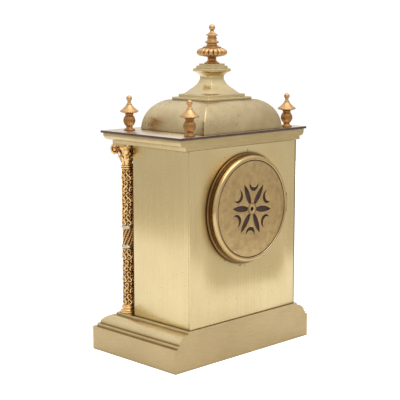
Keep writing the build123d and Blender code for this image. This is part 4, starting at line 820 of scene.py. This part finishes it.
def hinge_part(bm, pin, leaf_end, leaf_y, radius, bands, bore):
    """Adds a hinge leaf and its knuckles about an upright pin, at each band of heights."""
    for low, high in bands:
        tall = (high - low) * MM
        level = MOVEMENT.z + (low + high) / 2 * MM
        made = bmesh.ops.create_cube(bm, size=1.0)["verts"]
        bmesh.ops.scale(bm, vec=(abs(leaf_end - pin[0]) * MM, (leaf_y[1] - leaf_y[0]) * MM, tall), verts=made)
        bmesh.ops.translate(bm, vec=((leaf_end + pin[0]) / 2 * MM, sum(leaf_y) / 2 * MM, level), verts=made)
        tube = []
        upright = Matrix.Translation((pin[0] * MM, pin[1] * MM, level))
        for wall in (radius * MM, bore * MM):
            tube += bmesh.ops.create_cone(bm, cap_ends=False, segments=32, radius1=wall, radius2=wall,
                                          depth=tall, matrix=upright)["verts"]
        rims = {edge for v in tube for edge in v.link_edges if edge.is_boundary}
        for end in (level - tall / 2, level + tall / 2):
            loop = [edge for edge in rims if all(abs(v.co.z - end) < 1e-6 for v in edge.verts)]
            bmesh.ops.bridge_loops(bm, edges=loop)


REAR_PIN = (-56.6, 66.5)
OUTER_KNUCKLES = [(-10.0, -6.0), (6.0, 10.0)]
MIDDLE_KNUCKLE = [(-5.7, 5.7)]
drum = [(43.4, 50), (48.8, 50), (48.8, 62.05), (56.3, 62.05), (56.5, 62.25), (56.5, 63.4), (56.2, 63.8),
        (55.8, 64.0), (54.0, 64.1), (53.4, 64.3), *bow((53.9, 64.5), (54.3, 64.9), (53.9, 65.3), 4),
        (53.3, 65.4), (53.3, 65.6), *bow((53.6, 65.7), (53.9, 66.0), (53.6, 66.3), 4), (53.3, 66.4),
        (46.8, 66.4), (46.8, 52), (43.4, 52)]
bm = turned_level(drum)
hinge_part(bm, REAR_PIN, -51.4, (62.3, 65.2), 1.9, OUTER_KNUCKLES, 1.0)
finish_piece("drum", bm, drum_brass, stands_for=["rear_collar"])

bezel = [(50.05, 70.0), (46.5, 70.0), (46.5, 66.7), (53.3, 66.7), (53.4, 66.9), (53.4, 67.8), (53.7, 68.1),
         *bow((54.1, 68.4), (54.4, 68.8), (54.4, 69.3), 4), *bow((54.2, 70.1), (53.2, 71.7), (51.3, 72.3), 10),
         *bow((51.0, 72.25), (50.4, 72.1), (50.1, 71.8), 4), (50.05, 71.6)]
bm = turned_level(bezel)
hinge_part(bm, REAR_PIN, -52.6, (66.8, 69.6), 1.9, MIDDLE_KNUCKLE, 1.05)
finish_piece("bezel", bm, bezel_brass, body="rear_door", stands_for=["rear_bezel"])

PETAL_START = 6.3
PETAL_END = 28.5


def wheeled(run, degrees):
    """An opening's outline, turned about the middle of the disc."""
    turn = radians(degrees)
    return [(x * cos(turn) - z * sin(turn), x * sin(turn) + z * cos(turn)) for x, z in run]


# A petal is a pointed opening with a blunt inner end, and a crescent is a new moon that opens outwards.
petal = bow((PETAL_START, 1.6), (16.0, 3.2), (PETAL_END, 0.0), 12)
petal += [(x, -z) for x, z in petal[-2::-1]]
crescent = bow((27.2, 6.4), (18.2, 0.0), (27.2, -6.4), 16)
crescent += bow((27.2, -6.4), (22.0, 0.0), (27.2, 6.4), 16)[1:-1]
PATTERN_TURN = 6
DISC_RADIUS = 49.7
DISC_FRONT = 70.0
DISC_BACK = 71.6
BOSS_BORE = 2.2
bm = bmesh.new()
upright = Matrix.Translation((0, DISC_FRONT * MM, MOVEMENT.z)) @ Matrix.Rotation(radians(90), 4, "X")
bmesh.ops.create_circle(bm, segments=160, radius=DISC_RADIUS * MM, matrix=upright)
bmesh.ops.create_circle(bm, segments=32, radius=BOSS_BORE * MM, matrix=upright)
piercings = [wheeled(petal, PATTERN_TURN + 60 * n) for n in range(6)]
piercings += [wheeled(crescent, PATTERN_TURN + 30 + 60 * n) for n in range(6)]
for run in piercings:
    closed_line(bm, [(x * MM, DISC_FRONT * MM, MOVEMENT.z + z * MM) for x, z in run])
bmesh.ops.triangle_fill(bm, use_beauty=True, edges=bm.edges, normal=(0, -1, 0))
draw_out(bm, bm.faces, (0, (DISC_BACK - DISC_FRONT) * MM, 0))
bmesh.ops.recalc_face_normals(bm, faces=bm.faces)
rims = [edge for edge in bm.edges if edge.calc_face_angle(0) > radians(60)
        and all(v.co.y > (DISC_BACK - 0.01) * MM for v in edge.verts)]
ease(bm, rims, 0.5)
finish_piece("pierced_disc", bm, disc_brass, body="rear_door", stands_for=["rear_fret"],
             crease=30)

ring = [(BOSS_BORE, 71.5), (2.6, 72.0), *bow((3.2, 72.15), (4.2, 72.2), (4.9, 71.9), 4), (5.1, 71.5)]
bm = turned_level(ring, 48)
finish_piece("disc_boss", bm, disc_brass, body="rear_door")

# A dark cloth lining lies behind the pierced disc.
lining, tree, shader = bare("door_lining")
weave = put(tree, "ShaderNodeTexWave", {"Vector": here(tree), "Scale": 900.0, "Distortion": 1.0},
            bands_direction="DIAGONAL")
cloth = laid_over(tree, weave.outputs["Fac"], (0.045, 0.024, 0.022, 1), (0.085, 0.050, 0.045, 1))
tree.links.new(cloth, shader.inputs["Base Color"])
shader.inputs["Roughness"].default_value = 0.9
bm = turned_level([(1.5, 69.6), (46.3, 69.6), (46.3, 69.85), (1.5, 69.85)], 96)
finish_piece("door_lining", bm, lining, body="rear_door")


# ---------------------------------------------------------------- the front door
# A brass ring set in the front panel holds the dial. A bezel with a thick bevelled glass is hinged
# on its left as one faces it, and a short steel pin in each pair of knuckles lets the doors swing.
FRONT_PIN = (55.3, -42.8)
ring = [(46.9, -40.45), (51.7, -40.45), (52, -40.8), (52, -42.1), (51.7, -42.4), (44.9, -42.4), (44.6, -42.1),
        (44.6, -38), (41, -38), (41, -36.5), (46.9, -36.5)]
bm = turned_level(ring)
hinge_part(bm, FRONT_PIN, 51.0, (-42.3, -40.6), 1.7, OUTER_KNUCKLES, 0.9)
LUG_REACH = 42.2
LUG_RADIUS = 1.7
for turn in (radians(90), radians(210), radians(330)):
    spot = (LUG_REACH * cos(turn) * MM, -33.4 * MM, MOVEMENT.z + LUG_REACH * sin(turn) * MM)
    lying = Matrix.Translation(spot) @ Matrix.Rotation(radians(90), 4, "X")
    bmesh.ops.create_cone(bm, cap_ends=True, segments=24, radius1=LUG_RADIUS * MM, radius2=LUG_RADIUS * MM,
                          depth=6.4 * MM, matrix=lying)
finish_piece("dial_ring", bm, bezel_brass, stands_for=["front_collar"])
swell = [(52.8, -45.2), (51.9, -46.7), (50.0, -47.9), (47.5, -48.5), (45.2, -48.3), (43.8, -47.7)]
bezel = [(46.5, -42.65), (52.7, -42.65), (53, -42.95), (53, -44.7), *flowing(swell, 3), (43.5, -47.3),
         (43.5, -46.65), (46.5, -46.65)]
bm = turned_level(bezel)
hinge_part(bm, FRONT_PIN, 52.2, (-45.4, -43.0), 1.7, MIDDLE_KNUCKLE, 0.95)
finish_piece("glazed_bezel", bm, bezel_brass, body="front_door", stands_for=["front_bezel"])
dress(bright_steel, "hinge_pins")

clear_glass, tree, shader = bare("clear_glass")
smears = noise(tree, here(tree), 60.0).outputs["Fac"]
tree.links.new(fade(tree, smears, 0.0, 1.0, 0.0, 0.06), shader.inputs["Roughness"])
shader.inputs["Transmission Weight"].default_value = 1.0
shader.inputs["IOR"].default_value = 1.45
dress(clear_glass, "front_glass")


# ---------------------------------------------------------------- the dial and hands
# White enamel fired on copper, with black Roman hours, a minute track, and a hole for the key. The
# hands are steel, filed to shape and blued by heat.
enamel, tree, shader = bare("enamel")
milk = noise(tree, here(tree), 25.0, 3.0).outputs["Fac"]
cream = laid_over(tree, milk, (0.92, 0.90, 0.84, 1), (0.86, 0.83, 0.76, 1))
tree.links.new(cream, shader.inputs["Base Color"])
ripple = put(tree, "ShaderNodeBump", {"Strength": 0.05, "Distance": 0.3 * MM, "Height": milk})
tree.links.new(ripple.outputs["Normal"], shader.inputs["Normal"])
shader.inputs["Roughness"].default_value = 0.12
dress(enamel, "dial")

black_enamel = metal("black_enamel", (0.020, 0.020, 0.024), (0.06, 0.05, 0.05), 0.22, clouds=(200, 0.4))
black_enamel.node_tree.nodes["Principled BSDF"].inputs["Metallic"].default_value = 0.0
DIAL_FACE = -39.2
PAINT = 0.08


def painted(bm, corners, turn):
    """Adds a raised flat shape on the dial, drawn upright at twelve and turned clockwise."""
    outline = [(x * cos(turn) + z * sin(turn), z * cos(turn) - x * sin(turn)) for x, z in corners]
    face = bm.faces.new([bm.verts.new((x * MM, DIAL_FACE * MM, MOVEMENT.z + z * MM)) for x, z in outline])
    draw_out(bm, [face], (0, -PAINT * MM, 0))


def stroke(bottom, top, wide, low, high):
    """The corners of one leaning stroke of a numeral."""
    return [(bottom - wide / 2, low), (bottom + wide / 2, low), (top + wide / 2, high), (top - wide / 2, high)]


LETTER_WIDTHS = {"I": 2.0, "V": 4.6, "X": 4.6}
LOW, HIGH = 30.6, 38.6
SERIF = 0.3
bm = bmesh.new()
for hour, numeral in enumerate("I II III IIII V VI VII VIII IX X XI XII".split(), 1):
    turn = tau * hour / 12
    at = -sum(LETTER_WIDTHS[letter] for letter in numeral) / 2
    painted(bm, stroke(0, 0, -2 * at, LOW, LOW + SERIF), turn)
    painted(bm, stroke(0, 0, -2 * at, HIGH - SERIF, HIGH), turn)
    for letter in numeral:
        wide = LETTER_WIDTHS[letter]
        middle = at + wide / 2
        if letter == "I":
            painted(bm, stroke(middle, middle, 1.05, LOW, HIGH), turn)
        if letter == "V":
            painted(bm, stroke(middle, middle - 1.4, 1.1, LOW, HIGH), turn)
            painted(bm, stroke(middle, middle + 1.5, 0.4, LOW, HIGH), turn)
        if letter == "X":
            painted(bm, stroke(middle + 1.5, middle - 1.5, 1.1, LOW, HIGH), turn)
            painted(bm, stroke(middle - 1.5, middle + 1.5, 0.4, LOW, HIGH), turn)
        at += wide
for minute in range(60):
    thick = 0.9 if minute % 5 == 0 else 0.28
    painted(bm, stroke(0, 0, thick, 40.6, 42.0), tau * minute / 60)
bmesh.ops.recalc_face_normals(bm, faces=bm.faces)
finish_piece("dial_numerals", bm, black_enamel)
for name, near, far in (("inner", 40.35, 40.6), ("outer", 42.0, 42.25)):
    proud = DIAL_FACE - PAINT
    bm = turned_level([(near, DIAL_FACE), (far, DIAL_FACE), (far, proud), (near, proud)])
    finish_piece("minute_circle_" + name, bm, black_enamel)

blued_steel = metal("blued_steel", (0.035, 0.060, 0.22), (0.10, 0.05, 0.14), 0.22, stretch=(500, 500, 500),
                    clouds=(80, 0.5), specks=(900, 0.2), dirt_and_shade=(0.001, 0.6), dirt_and_shade_colour=(0.02, 0.01, 0.02))
dress(blued_steel, "minute_hand", "hour_hand")


# ---------------------------------------------------------------- the movement
# Two round brass plates held apart by pillars, screwed to straps across the case. Between them run
# the spring barrel, the wheels and their steel pinions, all in polished lacquered brass.
plate_brass = metal("plate_brass", (0.83, 0.63, 0.30), (0.50, 0.33, 0.13), 0.24, stretch=(500, 40, 500),
                    clouds=(40, 0.35), specks=(700, 0.3), dirt_and_shade=(0.0015, 0.7))
dress(plate_brass, "movement_front_plate", "movement_back_plate", "plate_pillars", "movement_straps",
      "escapement_platform", "escape_bridge", "balance_cock", "barrel", "barrel_cover", "balance_wheel")
wheel_brass = metal("wheel_brass", (0.86, 0.66, 0.32), (0.55, 0.36, 0.14), 0.20, stretch=(900, 60, 900),
                    clouds=(60, 0.3), specks=(900, 0.2), dirt_and_shade=(0.0008, 0.7))
dress(wheel_brass, "intermediate_wheel", "centre_wheel", "third_wheel", "fourth_wheel", "escape_wheel",
      "hour_wheel", "reverse_wheel", "cannon_pinion")
dress(bright_steel, "movement_screws", "pillar_nuts", "barrel_arbor", "ratchet_wheel", "ratchet_click",
      "pallet_lever", "strike_hammer", "bell_stand", "bell_nut")
spring_steel = metal("spring_steel", (0.20, 0.22, 0.28), (0.16, 0.12, 0.10), 0.25, stretch=(200, 900, 200),
                     clouds=(90, 0.4), dirt_and_shade=(0.001, 0.6), dirt_and_shade_colour=(0.03, 0.02, 0.02))
dress(spring_steel, "mainspring", "hairspring")

# A turned bell of cast bell metal stands behind the back plate, and one hammer strikes it in passing.
bell_metal = metal("bell_metal", (0.80, 0.66, 0.42), (0.48, 0.34, 0.18), 0.17, stretch=(60, 900, 60),
                   clouds=(30, 0.35), specks=(700, 0.25), dirt_and_shade=(0.002, 0.6), scratch=0.05)
dress(bell_metal, "bell")


# ---------------------------------------------------------------- light, floor and camera
# The clock stands on a wide strip of white paper that runs slantwise over a greyer, warmer floor.
# The upright panels mirror both, and shade from bottom to top under a bright ceiling.
PAPER_ACROSS = Vector((0.708, -0.706, 0.0))
PAPER_EDGES = (-0.37, 0.70)
SOFT = 0.03
FLOOR_LIFT = 0.6
floor_paint, tree, shader = bare("floor_paint")
across = vectors(tree, "DOT_PRODUCT", here(tree), PAPER_ACROSS, answer="Value")
right = fade(tree, across, PAPER_EDGES[0] - SOFT, PAPER_EDGES[0])
left = fade(tree, across, PAPER_EDGES[1] + SOFT, PAPER_EDGES[1])
paper = maths(tree, "MINIMUM", right, left)
shade = laid_over(tree, paper, (0.46, 0.42, 0.35, 1), (0.77, 0.77, 0.77, 1))
tree.links.new(shade, shader.inputs["Base Color"])
shader.inputs["Roughness"].default_value = 0.9
seen = put(tree, "ShaderNodeLightPath").outputs["Is Camera Ray"]
shader.inputs["Emission Color"].default_value = (1, 1, 1, 1)
tree.links.new(maths(tree, "MULTIPLY", seen, FLOOR_LIFT), shader.inputs["Emission Strength"])
bm = bmesh.new()
bmesh.ops.create_circle(bm, cap_ends=True, segments=96, radius=1.6)
mesh = bpy.data.meshes.new("floor")
bm.to_mesh(mesh)
bm.free()
mesh.materials.append(floor_paint)
floor = bpy.data.objects.new("floor", mesh)
bpy.context.scene.collection.objects.link(floor)

world = bpy.data.worlds.new("studio")
bpy.context.scene.world = world
world.use_nodes = True
tree = world.node_tree
background = tree.nodes["Background"]
direction = put(tree, "ShaderNodeTexCoord").outputs["Generated"]
height = put(tree, "ShaderNodeSeparateXYZ", {0: direction}).outputs["Z"]
ramp = put(tree, "ShaderNodeValToRGB", {"Fac": fade(tree, height, -1.0, 1.0)})
stops = ramp.color_ramp.elements
stops[0].position, stops[0].color = 0.0, (0.9, 0.9, 0.9, 1)
stops[1].position, stops[1].color = 1.0, (1.45, 1.45, 1.45, 1)
for position, shade in ((0.42, 0.75), (0.48, 0.78), (0.56, 0.72), (0.72, 1.0)):
    stop = stops.new(position)
    warmth = 0.5 * (1 - shade)
    stop.color = (shade, shade * (1 - 0.3 * warmth), shade * (1 - warmth), 1)
seen = put(tree, "ShaderNodeLightPath").outputs["Is Camera Ray"]
backdrop = laid_over(tree, seen, ramp.outputs["Color"], (1.25, 1.25, 1.25, 1))
tree.links.new(backdrop, background.inputs["Color"])
background.inputs["Strength"].default_value = 0.84


def soft_light(name, place, size, power, aim=(0, 0, 0.15)):
    """A square soft box that faces the clock."""
    lamp = bpy.data.lights.new(name, "AREA")
    lamp.shape = "SQUARE"
    lamp.size = size
    lamp.energy = power
    made = bpy.data.objects.new(name, lamp)
    bpy.context.scene.collection.objects.link(made)
    made.location = place
    made.rotation_euler = (Vector(aim) - Vector(place)).to_track_quat("-Z", "Y").to_euler()
    return made


soft_light("overhead", (0.1, 0.6, 1.7), 1.5, 12)
soft_light("front_fill", (-0.7, -1.5, 0.9), 0.8, 12).visible_glossy = False
soft_light("left_box", (1.5, -0.5, 0.9), 0.9, 5).visible_glossy = False

EYE = Vector((0.80991, 0.81351, 0.33973))
LOOK_AT = Vector((0.00179, -0.00177, 0.15495))
lens = bpy.data.cameras.new("camera")
lens.lens = 98.72
lens.sensor_width = 36
camera = bpy.data.objects.new("camera", lens)
camera.location = EYE
camera.rotation_euler = (LOOK_AT - EYE).to_track_quat("-Z", "Y").to_euler()
bpy.context.scene.collection.objects.link(camera)
bpy.context.scene.camera = camera
bpy.context.scene.view_settings.view_transform = "Standard"
